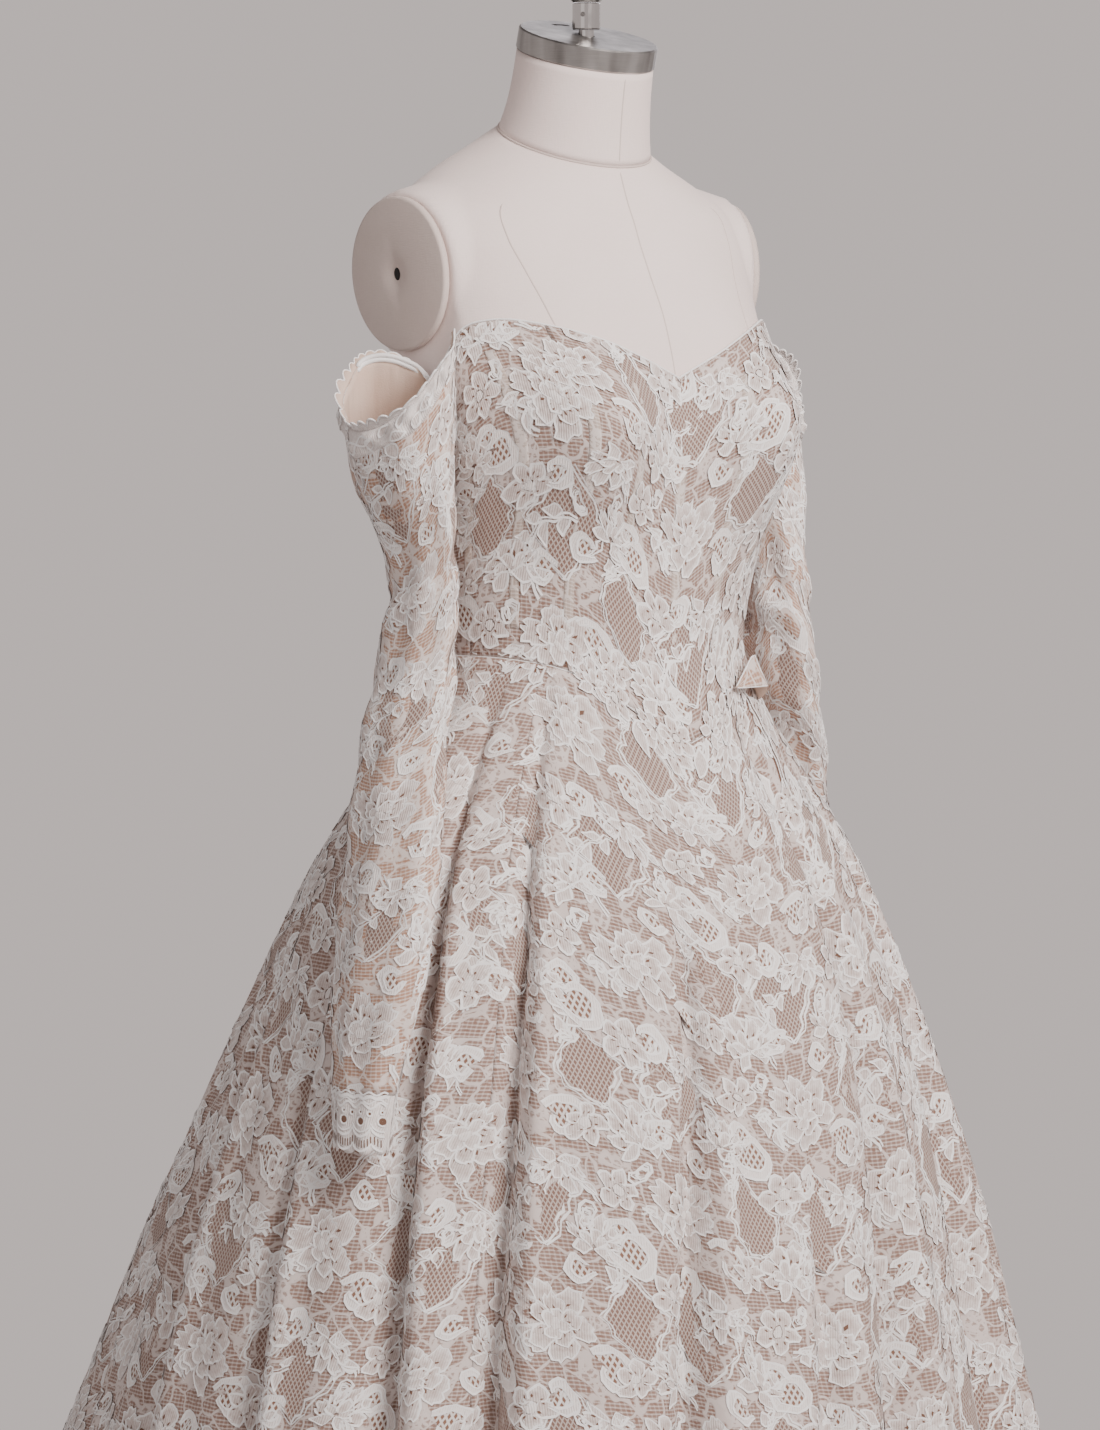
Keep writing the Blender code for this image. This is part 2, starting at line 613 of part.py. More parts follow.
def build_sleeves(lace, edging):
    """Both sleeves, with a petal edge at the mouth and a scalloped cuff with eyelets."""
    touch = BODY_EASE + CLOTH + BONE_GAP + BONE_THICK + 0.0006
    angle = np.arange(SLEEVE_COLUMNS) * 360 / SLEEVE_COLUMNS
    t = (np.linspace(0, 1, SLEEVE_ROWS + 1) ** 0.92)[:, None]
    height = mouth_height(angle) + (CUFF_TOP - mouth_height(angle)) * t
    for side, word in ((-1, "right"), (1, "left")):
        outer = sleeve_points(side, angle, height, 0, touch)
        inner = sleeve_points(side, angle, height, CLOTH, touch + CLOTH)
        wall(f"sleeve_{word}", outer, inner, lace, ring=True)

        rims = [with_midpoints(grid[0]) for grid in (outer, inner)]
        step = np.arange(len(rims[0])) * 360 / len(rims[0])
        petal = np.where(np.arange(len(rims[0])) % 2 == 0, 0.45, 1.0)[:, None]
        turn = np.radians(step)[:, None]
        spread = EDGE_FLARE * np.maximum(np.sin(turn), 0) * petal
        rise = stack(side * spread[:, 0], 0.0, EDGE_HEIGHT * petal[:, 0])
        foot = np.array([0, 0, 2 * SEAM_GAP])
        outer, inner = (np.stack([rim + foot, rim + foot + rise]) for rim in rims)
        wall(f"sleeve_edge_{word}", outer, inner, edging, ring=True)

        for half_word, low, high in (("outer", 0, 180), ("inner", 180, 360)):
            count = CUFF_SCALLOPS * 2 + 1
            step = np.linspace(low, high, count)
            step[0] += 0.35
            step[-1] -= 0.35
            drop = np.abs(np.sin(np.arange(count) * np.pi / 4))
            row = np.array([0.0, 0.5, 1.0])[:, None]
            depth = (CUFF_HEIGHT - 0.006 + 0.006 * drop) * row + SEAM_GAP
            outer = sleeve_points(side, step, CUFF_TOP - depth, 0, touch)
            inner = sleeve_points(side, step, CUFF_TOP - depth, CLOTH, touch + CLOTH)
            cuff = wall(f"cuff_{word}_{half_word}", outer, inner, edging)
            for number, middle in enumerate(step[2::4]):
                beside = np.array([middle - 2, middle + 2])
                spot = sleeve_points(side, beside, CUFF_TOP - EYELET_DROP, 0, touch)
                along = Vector(spot[1] - spot[0]).normalized()
                across = along.cross(Vector((0, 0, 1))).to_track_quat("Z", "Y").to_matrix().to_4x4()
                profile = ((EYELET_RADIUS, -0.006), (EYELET_RADIUS, 0.006))
                place = Matrix.Translation(spot.mean(axis=0)) @ across
                cutter_name = f"eyelet_cutter_{word}_{half_word}_{number}"
                cut(cuff, turned(cutter_name, profile, edging, 6, place=place))


for leftover in list(bpy.data.objects):
    bpy.data.objects.remove(leftover, do_unlink=True)

linen = new_material("form_linen", (0.72, 0.66, 0.63), 0.85)
brushed = new_material("brushed_steel", (0.52, 0.50, 0.48), 0.35, 1.0)
chrome = new_material("chrome", (0.68, 0.68, 0.68), 0.15, 1.0)
black = new_material("black_screw", (0.03, 0.03, 0.03), 0.4, 0.6)
paint = new_material("painted_stand", (0.75, 0.74, 0.72), 0.4)
lace = new_material("lined_lace", (0.62, 0.54, 0.49), 0.9)
edging = new_material("lace_edging", (0.75, 0.71, 0.68), 0.9)
casing = new_material("boning_casing", (0.70, 0.64, 0.60), 0.8)
satin = new_material("covered_buttons", (0.78, 0.74, 0.70), 0.5)

build_form(linen, brushed, chrome, black, paint)
build_bodice(lace, casing, satin)
build_skirt(lace)
build_pleat_tip(lace)
build_sleeves(lace, edging)
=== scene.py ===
import math

import bpy
import numpy as np
from mathutils import Matrix, Vector


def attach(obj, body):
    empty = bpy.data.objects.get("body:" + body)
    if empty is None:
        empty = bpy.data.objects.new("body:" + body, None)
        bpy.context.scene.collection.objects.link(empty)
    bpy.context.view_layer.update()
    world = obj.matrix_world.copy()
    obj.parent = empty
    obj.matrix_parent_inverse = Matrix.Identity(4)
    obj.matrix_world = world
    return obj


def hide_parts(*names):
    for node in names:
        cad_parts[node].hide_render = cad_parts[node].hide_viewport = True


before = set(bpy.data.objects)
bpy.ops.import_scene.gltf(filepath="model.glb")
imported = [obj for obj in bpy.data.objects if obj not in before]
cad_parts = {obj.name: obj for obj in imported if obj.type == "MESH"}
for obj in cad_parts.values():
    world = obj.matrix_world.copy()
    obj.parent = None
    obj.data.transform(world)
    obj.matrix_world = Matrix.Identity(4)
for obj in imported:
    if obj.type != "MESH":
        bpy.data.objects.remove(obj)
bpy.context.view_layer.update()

# Off-shoulder lace wedding dress on its dress form, in metres.
# The front faces -Y and the wearer's right is at -X.


# A table of named columns from rows of numbers
def rowsOf(names, *rows):
    return {name: np.array([row[i] for row in rows], float) for i, name in enumerate(names)}


# Figure sections, level at the hips and tilted forward at the neck
figureRows = rowsOf(
    ("height", "middle", "tilt", "half", "front", "back"),
    (0.800, 0.000, 0, 0.1500, 0.1150, 0.1200),
    (0.860, 0.000, 0, 0.1640, 0.1280, 0.1300),
    (0.930, 0.000, 0, 0.1620, 0.1330, 0.1200),
    (1.000, 0.000, 0, 0.1440, 0.1280, 0.1000),
    (1.060, 0.000, 0, 0.1255, 0.1090, 0.0840),
    (1.120, 0.000, 0, 0.1290, 0.1080, 0.0900),
    (1.180, 0.000, 0, 0.1380, 0.1070, 0.1020),
    (1.240, 0.005, 0, 0.1490, 0.1110, 0.1100),
    (1.290, 0.012, 0, 0.1540, 0.1160, 0.1100),
    (1.330, 0.018, 3, 0.1570, 0.1140, 0.1080),
    (1.365, 0.022, 6, 0.1570, 0.1030, 0.1020),
    (1.395, 0.023, 10, 0.1520, 0.0920, 0.0940),
    (1.415, 0.022, 13, 0.1380, 0.0840, 0.0860),
    (1.430, 0.020, 16, 0.1120, 0.0760, 0.0780),
    (1.445, 0.018, 18, 0.0830, 0.0680, 0.0700),
    (1.458, 0.015, 20, 0.0605, 0.0605, 0.0605),
)
neckRows = rowsOf(
    ("height", "middle", "tilt", "half"),
    (1.4583, 0.0149, 20.0, 0.0605),
    (1.4750, 0.0110, 18.8, 0.0572),
    (1.5000, 0.0060, 17.0, 0.0545),
    (1.5225, 0.0016, 15.5, 0.0536),
)
skirtRows = rowsOf(
    ("height", "half", "front", "back"),
    (0.000, 0.472, 0.412, 0.715),
    (0.250, 0.405, 0.360, 0.588),
    (0.455, 0.351, 0.313, 0.466),
    (0.630, 0.308, 0.275, 0.358),
    (0.780, 0.264, 0.238, 0.252),
    (0.850, 0.240, 0.214, 0.213),
    (0.900, 0.220, 0.191, 0.185),
    (0.950, 0.191, 0.162, 0.155),
    (1.000, 0.159, 0.1325, 0.119),
    (1.030, 0.1415, 0.1205, 0.1025),
    (1.065, 0.1288, 0.1120, 0.0873),
)
# Troughs of the skirt: angle at waist and hem, start under the waist, depth and half width at the hem
foldRows = rowsOf(
    ("top", "low", "start", "depth", "width"),
    (-166, -164, 0.04, 0.050, 6.0),
    (-146, -143, 0.10, 0.044, 5.5),
    (-126, -122, 0.03, 0.052, 6.0),
    (-108, -102, 0.12, 0.040, 5.5),
    (-88, -83, 0.16, 0.044, 6.0),
    (-65, -61, 0.00, 0.034, 5.0),
    (-46, -48, 0.00, 0.046, 5.5),
    (-15, -23, 0.06, 0.044, 6.0),
    (6, -4, 0.22, 0.028, 5.0),
    (23, 8, 0.00, 0.036, 5.0),
    (44, 30, 0.03, 0.040, 5.5),
    (62, 50, 0.10, 0.034, 5.5),
    (80, 70, 0.02, 0.044, 6.0),
    (100, 92, 0.14, 0.036, 5.5),
    (119, 114, 0.04, 0.050, 6.0),
    (139, 135, 0.09, 0.044, 5.5),
    (158, 157, 0.03, 0.052, 6.0),
    (178, 178, 0.12, 0.042, 5.5),
)
necklineRows = rowsOf(
    ("angle", "height"),
    (0, 1.275),
    (12, 1.291),
    (25, 1.308),
    (38, 1.319),
    (55, 1.323),
    (66, 1.315),
    (78, 1.288),
    (90, 1.268),
    (105, 1.268),
    (118, 1.277),
    (130, 1.280),
    (150, 1.266),
    (180, 1.235),
)
waistRows = rowsOf(
    ("angle", "height"),
    (0, 0.998),
    (8, 1.006),
    (20, 1.027),
    (32, 1.046),
    (45, 1.057),
    (60, 1.062),
    (90, 1.064),
    (180, 1.064),
)
sleeveRows = {
    -1: rowsOf(
        ("height", "out", "along", "thick", "deep"),
        (0.660, 0.297, -0.113, 0.0175, 0.0305),
        (0.700, 0.292, -0.110, 0.0175, 0.0305),
        (0.745, 0.281, -0.098, 0.0185, 0.0350),
        (0.830, 0.260, -0.088, 0.0250, 0.0500),
        (0.923, 0.230, -0.064, 0.0260, 0.0520),
        (0.993, 0.202, -0.036, 0.0260, 0.0470),
        (1.064, 0.174, -0.015, 0.0230, 0.0430),
        (1.130, 0.170, -0.018, 0.0210, 0.0360),
        (1.200, 0.190, -0.021, 0.0330, 0.0510),
        (1.250, 0.1940, -0.022, 0.0384, 0.0540),
        (1.320, 0.1940, -0.020, 0.0384, 0.0540),
    ),
    1: rowsOf(
        ("height", "out", "along", "thick", "deep"),
        (0.660, 0.314, 0.080, 0.0175, 0.0305),
        (0.700, 0.304, 0.078, 0.0175, 0.0305),
        (0.745, 0.290, 0.070, 0.0185, 0.0350),
        (0.830, 0.262, 0.055, 0.0230, 0.0480),
        (0.923, 0.230, 0.033, 0.0240, 0.0480),
        (0.993, 0.203, 0.006, 0.0240, 0.0450),
        (1.064, 0.178, -0.014, 0.0230, 0.0430),
        (1.130, 0.172, -0.018, 0.0210, 0.0370),
        (1.200, 0.180, 0.006, 0.0270, 0.0470),
        (1.250, 0.1841, 0.024, 0.0319, 0.0500),
        (1.320, 0.1861, 0.028, 0.0319, 0.0500),
    ),
}
mouthRows = rowsOf(
    ("angle", "height"),
    (-90, 1.262),
    (-55, 1.310),
    (-30, 1.300),
    (0, 1.284),
    (45, 1.250),
    (90, 1.236),
    (120, 1.243),
    (150, 1.266),
    (180, 1.286),
    (215, 1.293),
    (240, 1.286),
    (270, 1.262),
)
cloth = {"thickness": 0.0012, "ease": 0.0018, "cadWall": 0.002, "seam": 0.0003, "hem": 0.012}
cup = {"out": 0.092, "height": 1.240, "reach": 0.057, "formReach": 0.051}
cup.update({"across": 0.043, "above": 0.040, "below": 0.055})
plate = {"centre": (0.161, 0.029, 1.355), "along": 0.054, "tall": 0.0595, "thick": 0.008}
plate.update({"seat": 0.0014, "turn": 5.5, "lean": 7.0, "faceDown": 3.0})


# One column of a table at the key values `at`, on a smooth cubic through its rows
def readRows(rows, name, key, at):
    keys, values = rows[key], rows[name]
    slopes = np.gradient(values, keys)
    at = np.clip(at, keys[0], keys[-1])
    i = np.clip(np.searchsorted(keys, at, side="right") - 1, 0, len(keys) - 2)
    span = keys[i + 1] - keys[i]
    t = (at - keys[i]) / span
    start = (1 + 2 * t) * (1 - t) ** 2 * values[i] + t * (1 - t) ** 2 * span * slopes[i]
    end = t * t * (3 - 2 * t) * values[i + 1] + t * t * (t - 1) * span * slopes[i + 1]
    return start + end


# Several columns of a table at the given heights
def readMany(rows, names, height):
    return [readRows(rows, name, "height", height) for name in names]


# Eases from 0 to 1 between two values
def ramp(value, low, high):
    t = np.clip((value - low) / (high - low), 0, 1)
    return t * t * (3 - 2 * t)


# Points from x, y and z, stretched to one shape
def stack(x, y, z):
    return np.stack(np.broadcast_arrays(x, y, z), axis=-1)


# Centre and forward, upward and outward directions of an arm plate
def plateFrame(side):
    turn, lean, down = (math.radians(plate[name]) for name in ("turn", "lean", "faceDown"))
    out = Vector((math.cos(down) * math.cos(turn), -math.cos(down) * math.sin(turn), -math.sin(down)))
    up = Vector((0, math.sin(lean), math.cos(lean)))
    up = (up - out * up.dot(out)).normalized()
    forward = up.cross(out)
    if forward.y > 0:
        forward = -forward
    return [np.array([side * v.x, v.y, v.z]) for v in (Vector(plate["centre"]), forward, up, out)]


# A point `away` outside the figure: an oval section plus two rounded cups. The form itself also has
# a flat seat for each arm plate and slightly smaller cups.
def figure(angle, height, away=0.0, onForm=False):
    turn = np.radians(angle)
    height = np.broadcast_to(height, np.broadcast_shapes(np.shape(angle), np.shape(height)))
    front, back = readMany(figureRows, ("front", "back"), height)
    reach = np.where(np.cos(turn) > 0, front, back)
    x = (readRows(figureRows, "half", "height", height) + away) * np.sin(turn)
    y = -(reach + away) * np.cos(turn)
    rise = np.where(height > cup["height"], cup["above"], cup["below"])
    high = (height - cup["height"]) / rise
    fullness = cup["formReach" if onForm else "reach"] * (np.cos(turn) > 0)
    for side in (-1, 1):
        across = (x - side * cup["out"]) / cup["across"]
        y = y - fullness * np.exp(-(across**2 + high**2) / 2)
    tilt, middle = readMany(figureRows, ("tilt", "middle"), height)
    tilt = np.radians(tilt)
    points = stack(x, middle + y * np.cos(tilt), height + y * np.sin(tilt))
    if not onForm:
        return points
    for side in (-1, 1):
        centre, forward, up, out = plateFrame(side)
        local = points - centre
        far = np.hypot(local @ forward / plate["along"], local @ up / plate["tall"])
        lift = -plate["thick"] - plate["seat"] - local @ out
        near = 1 - ramp(far, 1.04, np.where(lift < 0, 1.6, 1.18))
        near = near * (points[..., 0] * side > 0.06)
        points = points + (near * lift)[..., None] * out
    return points


# A point of the bodice: t runs from the waist seam, 0, to the neckline, 1
def bodicePoint(angle, t, away):
    low = readRows(waistRows, "height", "angle", np.abs(angle))
    high = readRows(necklineRows, "height", "angle", np.abs(angle))
    return figure(angle, low + (high - low) * t, away)


# How far down a fold deepens and drifts, and the depths of waist pleat, crease, roll and hem flare
foldShape = {"fall": 0.95, "drift": 0.75, "pleat": 0.005, "crease": 0.012, "roll": 0.011, "flare": 0.026}


# A point of the skirt: v runs from the waist seam, 0, to the hem, 1. Each fold is a soft trough that
# deepens and drifts on its way down, with a sharp crease at its bottom and a roll of cloth beside it;
# finer waves ride on the ridges between them.
def skirtPoint(angle, v, away):
    top = readRows(waistRows, "height", "angle", np.abs(angle)) - cloth["seam"]
    height = top + (cloth["hem"] - top) * v
    turn = np.radians(angle)
    half, front, back = readMany(skirtRows, ("half", "front", "back"), height)
    reach = np.where(np.cos(turn) > 0, front, back)
    outline = np.hypot(half * np.sin(turn), reach * np.cos(turn))
    drop = top - height
    inward = np.zeros_like(height)
    for topAngle, low, start, depth, width in zip(*foldRows.values()):
        fall = ramp(drop, start, start + foldShape["fall"])
        centre = topAngle + (low - topAngle) * ramp(drop, 0.0, foldShape["drift"])
        apart = (angle - centre + 180) % 360 - 180
        spread = width * (0.62 + 0.38 * ramp(drop, 0, 0.8))
        trough = np.exp(-((np.sqrt((apart / spread) ** 2 + 0.08) - math.sqrt(0.08)) * 1.25))
        pleat = foldShape["pleat"] * ramp(drop, 0.004, 0.03) if start == 0 else 0
        arc = np.radians(apart) * outline
        narrow = 0.0045 + 0.0060 * ramp(drop, 0, 0.8)
        crease = ramp(drop, start, start + 0.22) * np.exp(-((arc / narrow) ** 2))
        beside = (arc - 3.2 * narrow) / (1.7 * narrow)
        roll = ramp(drop, start + 0.02, start + 0.35) * np.exp(-(beside**2))
        inward = inward + (depth * fall + pleat) * trough
        inward = inward + foldShape["crease"] * crease - foldShape["roll"] * roll
    lean = 14 * drop
    waves = 0.55 * np.sin(np.radians(angle * 11 + 40 * np.sin(turn * 3) + 30 * lean))
    waves = waves + 0.45 * np.sin(np.radians(angle * 19 + 70 * np.cos(turn * 2) - 22 * lean))
    inward = inward + waves * (0.0010 * ramp(drop, 0.01, 0.10) + 0.0045 * ramp(drop, 0.15, 0.9))
    scale = 1 + (away + foldShape["flare"] * ramp(drop, 0, 0.9) - inward) / outline
    return stack(half * np.sin(turn) * scale, -reach * np.cos(turn) * scale, height)


# Moves sleeve points out of the dress under them, so that the sleeve lies just clear of it
def clearOf(points, side, away):
    x, y, z = points[..., 0] * side, points[..., 1], points[..., 2]
    up = z > waistRows["height"][-1] - 0.002
    under = readMany(figureRows, ("half", "front", "back"), z)
    below = [part + 0.007 for part in readMany(skirtRows, ("half", "front", "back"), z)]
    half, front, back = (np.where(up, a, b) for a, b in zip(under, below))
    middle = np.where(up, readRows(figureRows, "middle", "height", z), 0)
    reach = np.where(y < middle, front, back) + away
    far = np.hypot(x / (half + away), (y - middle) / reach)
    push = np.where(far < 1, 1 / np.maximum(far, 0.1), 1)
    return stack(side * x * push, middle + (y - middle) * push, z)


# Height of a sleeve's mouth at an angle round it
def mouthHeight(angle):
    return readRows(mouthRows, "height", "angle", (angle + 90) % 360 - 90)


# A point of a sleeve: a flat oval tube, with shallow creases that slant round the elbow and run down
# the forearm. Angle 0 is its front, 90 its outer side.
def sleevePoint(side, angle, height, away):
    touch = 0.0058 - 0.0016 * ramp(height, 1.244, 1.256) + np.maximum(away, 0)
    turn = np.radians(angle)
    out, along, thick, deep = readMany(sleeveRows[side], ("out", "along", "thick", "deep"), height)
    elbow = ramp(height, 0.78, 0.90) * (1 - ramp(height, 1.16, 1.24))
    crease = 0.0016 * np.sin(turn * 3 + height * 95 + side) * elbow
    crease = crease + 0.0011 * np.sin(turn * 7 + height * 14 + 2 * side)
    crease = crease + 0.0018 * np.exp(-(((height - 1.10) / 0.05) ** 2)) * np.sin(turn * 2 + height * 170)
    face = np.sign(np.sin(turn)) * np.abs(np.sin(turn)) ** 1.15
    x = side * (out + (thick + away + crease - 0.0012) * face)
    y = along - (deep + away * 1.3 + crease - 0.0012) * np.cos(turn)
    return clearOf(stack(x, y, height), side, touch)


print("shape tables ready")


# Linear colour from an sRGB hex such as "#d8d0cc"
def hexColour(text):
    parts = [int(text[i : i + 2], 16) / 255 for i in (1, 3, 5)]
    return tuple(p / 12.92 if p <= 0.04045 else ((p + 0.055) / 1.055) ** 2.4 for p in parts) + (1,)


# Adds a node. A setting is a property by its name, or an input by its name or number, with a plain
# value or another node's output that is linked to it.
def addNode(tree, kind, settings=None):
    node = tree.nodes.new(kind)
    for key, value in (settings or {}).items():
        if isinstance(value, bpy.types.NodeSocket):
            tree.links.new(value, node.inputs[key])
        elif isinstance(key, str) and hasattr(node, key):
            setattr(node, key, value)
        else:
            node.inputs[key].default_value = value
    return node


# A cloth, metal or paint: a principled shader with the given inputs, colours as hex
def newMaterial(name, settings):
    material = bpy.data.materials.new(name)
    material.use_nodes = True
    shader = material.node_tree.nodes["Principled BSDF"]
    for key, value in settings.items():
        shader.inputs[key].default_value = hexColour(value) if isinstance(value, str) else value
    return material, material.node_tree, shader


# Result of a math operation on numbers or other nodes' outputs
def calc(tree, operation, *values):
    return addNode(tree, "ShaderNodeMath", {"operation": operation, **dict(enumerate(values))}).outputs[0]


# Result of an operation on a vector and another one, or on a vector and a number for SCALE
def vectorCalc(tree, operation, vector, other):
    slot = "Scale" if operation == "SCALE" else 1
    return addNode(tree, "ShaderNodeVectorMath", {"operation": operation, 0: vector, slot: other}).outputs[0]


# Colours a shader between two tones by an amount
def tint(tree, shader, amount, first, second):
    settings = {"data_type": "RGBA", 0: amount, 6: hexColour(first), 7: hexColour(second)}
    tree.links.new(addNode(tree, "ShaderNodeMix", settings).outputs[2], shader.inputs["Base Color"])


# Bends the shader's normal by the slope of a height
def addBump(tree, shader, height, distance, strength=1.0):
    bump = addNode(tree, "ShaderNodeBump", {"Distance": distance, "Strength": strength, "Height": height})
    tree.links.new(bump.outputs[0], shader.inputs["Normal"])


# The piece's own coordinates in metres
def objectPlace(tree):
    return addNode(tree, "ShaderNodeTexCoord").outputs["Object"]


# Smooth noise with the given scale per unit and octaves
def noise(tree, vector, scale, detail, output="Fac", roughness=0.5):
    settings = {"Vector": vector, "Scale": scale, "Detail": detail, "Roughness": roughness}
    return addNode(tree, "ShaderNodeTexNoise", settings).outputs[output]


# Takes a value's range low..high to start..end, eased at both ends
def remap(tree, value, low, high, start=0.0, end=1.0, kind="SMOOTHSTEP"):
    settings = {"interpolation_type": kind, "Value": value, "From Min": low, "From Max": high}
    settings.update({"To Min": start, "To Max": end})
    return addNode(tree, "ShaderNodeMapRange", settings).outputs["Result"]


# The cloth's own flat coordinates in millimetres
def flatMillimetres(tree):
    return vectorCalc(tree, "SCALE", addNode(tree, "ShaderNodeUVMap", {"uv_map": "flat"}).outputs[0], 1000.0)


# Evenly spaced threads: bands of the given pitch across one direction, 1 on a thread and 0 between
def threads(tree, vector, pitch, angle, low, high, wobble=0.0):
    turn = {"rotation_type": "Z_AXIS", "Angle": math.radians(angle), "Vector": vector}
    turned = addNode(tree, "ShaderNodeVectorRotate", turn).outputs[0]
    wave = {"bands_direction": "X", "Vector": turned, "Scale": math.pi / 10 / pitch, "Distortion": wobble}
    wave.update({"Detail": 1.0, "Detail Scale": 0.6})
    return remap(tree, addNode(tree, "ShaderNodeTexWave", wave).outputs["Fac"], low, high)


# Slow unevenness of a cloth's tone, between two factors
def mottle(tree, vector, scale, low, high):
    return remap(tree, noise(tree, vector, scale, 3.0, roughness=0.6), 0.3, 0.7, low, high, "LINEAR")


clothLook = {"Roughness": 0.88, "Specular IOR Level": 0.25, "Sheen Weight": 0.12, "Sheen Roughness": 0.5}


# A pattern moved about by slow noise, so that what is drawn with it wavers by `reach` millimetres
def waver(tree, vector, scale, reach):
    centred = vectorCalc(tree, "SUBTRACT", noise(tree, vector, scale, 1.0, "Color"), (0.5, 0.5, 0.5))
    return vectorCalc(tree, "ADD", vector, vectorCalc(tree, "SCALE", centred, reach))


# Irregular cells `size` millimetres across, and lines along their edges, 1 on a line
def cellNode(tree, vector, size, feature):
    settings = {"feature": feature, "Vector": vector, "Scale": 1 / size, "Randomness": 0.85}
    return addNode(tree, "ShaderNodeTexVoronoi", settings)


def cellLines(tree, vector, size, width):
    far = cellNode(tree, vector, size, "DISTANCE_TO_EDGE").outputs["Distance"]
    return remap(tree, far, 0.35 * width / size, 0.75 * width / size, 1.0, 0.0)


# The ground in millimetres: pitch, angle, fade and wobble of its rows and standing threads, pitch and
# half size of its holes, cells with a cord round them, and the share of cells with scalloped filling
ground = {"rows": (2.9, 90, 0.45, 0.9, 1.6), "stands": (3.9, 0, 0.55, 0.95, 2.0), "pitch": (9.0, 6.6)}
ground.update({"hole": (1.7, 1.15), "cell": 18.0, "cord": 1.7, "scallop": (5.6, 1.5), "share": 0.14})


# Thread ground on a nude lining: fine wavering rows with staggered oval holes, and small scalloped
# fillings with cord round them in between
def threadGround(name, lining, thread):
    material, tree, shader = newMaterial(name, clothLook)
    vector = flatMillimetres(tree)
    x, y = addNode(tree, "ShaderNodeSeparateXYZ", {0: vector}).outputs[:2]
    rows, stands = (threads(tree, vector, *ground[part]) for part in ("rows", "stands"))
    line = calc(tree, "DIVIDE", y, ground["pitch"][1])
    stagger = calc(tree, "MULTIPLY", calc(tree, "FLOOR", line), 0.5)
    across = calc(tree, "ADD", calc(tree, "DIVIDE", x, ground["pitch"][0]), stagger)
    squares = []
    for place, pitch, half in zip((across, line), ground["pitch"], ground["hole"]):
        offset = calc(tree, "SUBTRACT", calc(tree, "FRACT", place), 0.5)
        offset = calc(tree, "MULTIPLY", offset, pitch / half)
        squares.append(calc(tree, "MULTIPLY", offset, offset))
    far = calc(tree, "SQRT", calc(tree, "ADD", *squares))
    hole = calc(tree, "SUBTRACT", 1.0, calc(tree, "SMOOTH_MIN", calc(tree, "POWER", far, 3.0), 1.0, 0.2))
    cover = calc(tree, "ADD", calc(tree, "MULTIPLY", rows, 0.50), calc(tree, "MULTIPLY", stands, 0.24))
    cover = calc(tree, "SUBTRACT", calc(tree, "ADD", cover, 0.06), calc(tree, "MULTIPLY", hole, 0.5))
    bent = waver(tree, vector, 0.07, 11.0)
    cords = cellLines(tree, bent, ground["cell"], ground["cord"])
    scallops = cellLines(tree, waver(tree, vector, 0.3, 3.0), *ground["scallop"])
    cells = cellNode(tree, bent, ground["cell"], "F1").outputs["Color"]
    chance = addNode(tree, "ShaderNodeSeparateXYZ", {0: cells}).outputs[0]
    chosen = calc(tree, "LESS_THAN", chance, ground["share"])
    filling = calc(tree, "MULTIPLY", chosen, calc(tree, "ADD", 0.30, calc(tree, "MULTIPLY", scallops, 0.66)))
    cover = calc(tree, "MAXIMUM", calc(tree, "MAXIMUM", cover, filling), calc(tree, "MULTIPLY", cords, 0.90))
    cover = calc(tree, "MULTIPLY", cover, mottle(tree, vector, 0.02, 0.9, 1.06))
    tint(tree, shader, cover, lining, thread)
    addBump(tree, shader, cover, 0.0004, 0.6)
    return material


# Open diamond net: two sets of slanting threads over the lining
def netGround(name, lining, thread, cell, low, high):
    material, tree, shader = newMaterial(name, clothLook)
    vector = flatMillimetres(tree)
    mesh = calc(tree, "MAXIMUM", *(threads(tree, vector, cell, angle, low, high) for angle in (33, -33)))
    cover = calc(tree, "MULTIPLY", mesh, mottle(tree, vector, 0.03, 0.85, 1.05))
    tint(tree, shader, cover, lining, thread)
    addBump(tree, shader, mesh, 0.0004, 0.7)
    return material


# White filled lace on flowers, leaves and bands: close threads, thick at a petal's rim and sheer
# inside it by the piece's own `dense` values
def filledLace(name, light, shade):
    material, tree, shader = newMaterial(name, clothLook)
    vector = flatMillimetres(tree)
    fine = threads(tree, vector, 1.9, 8, 0.1, 0.9, 2.0)
    dense = addNode(tree, "ShaderNodeAttribute", {"attribute_name": "dense"}).outputs["Fac"]
    amount = calc(tree, "ADD", calc(tree, "MULTIPLY", fine, 0.22), dense)
    amount = calc(tree, "ADD", amount, mottle(tree, vector, 0.22, -0.30, 0.10))
    tint(tree, shader, calc(tree, "MINIMUM", calc(tree, "MAXIMUM", amount, 0.0), 1.0), shade, light)
    addBump(tree, shader, fine, 0.0003, 0.7)
    return material


# Raised outline cord, brighter and a little glossier than the filling
def cordLace(name, light):
    look = {**clothLook, "Roughness": 0.7, "Base Color": light}
    material, tree, shader = newMaterial(name, look)
    addBump(tree, shader, threads(tree, flatMillimetres(tree), 1.1, 40, 0.0, 1.0), 0.0002, 0.5)
    return material


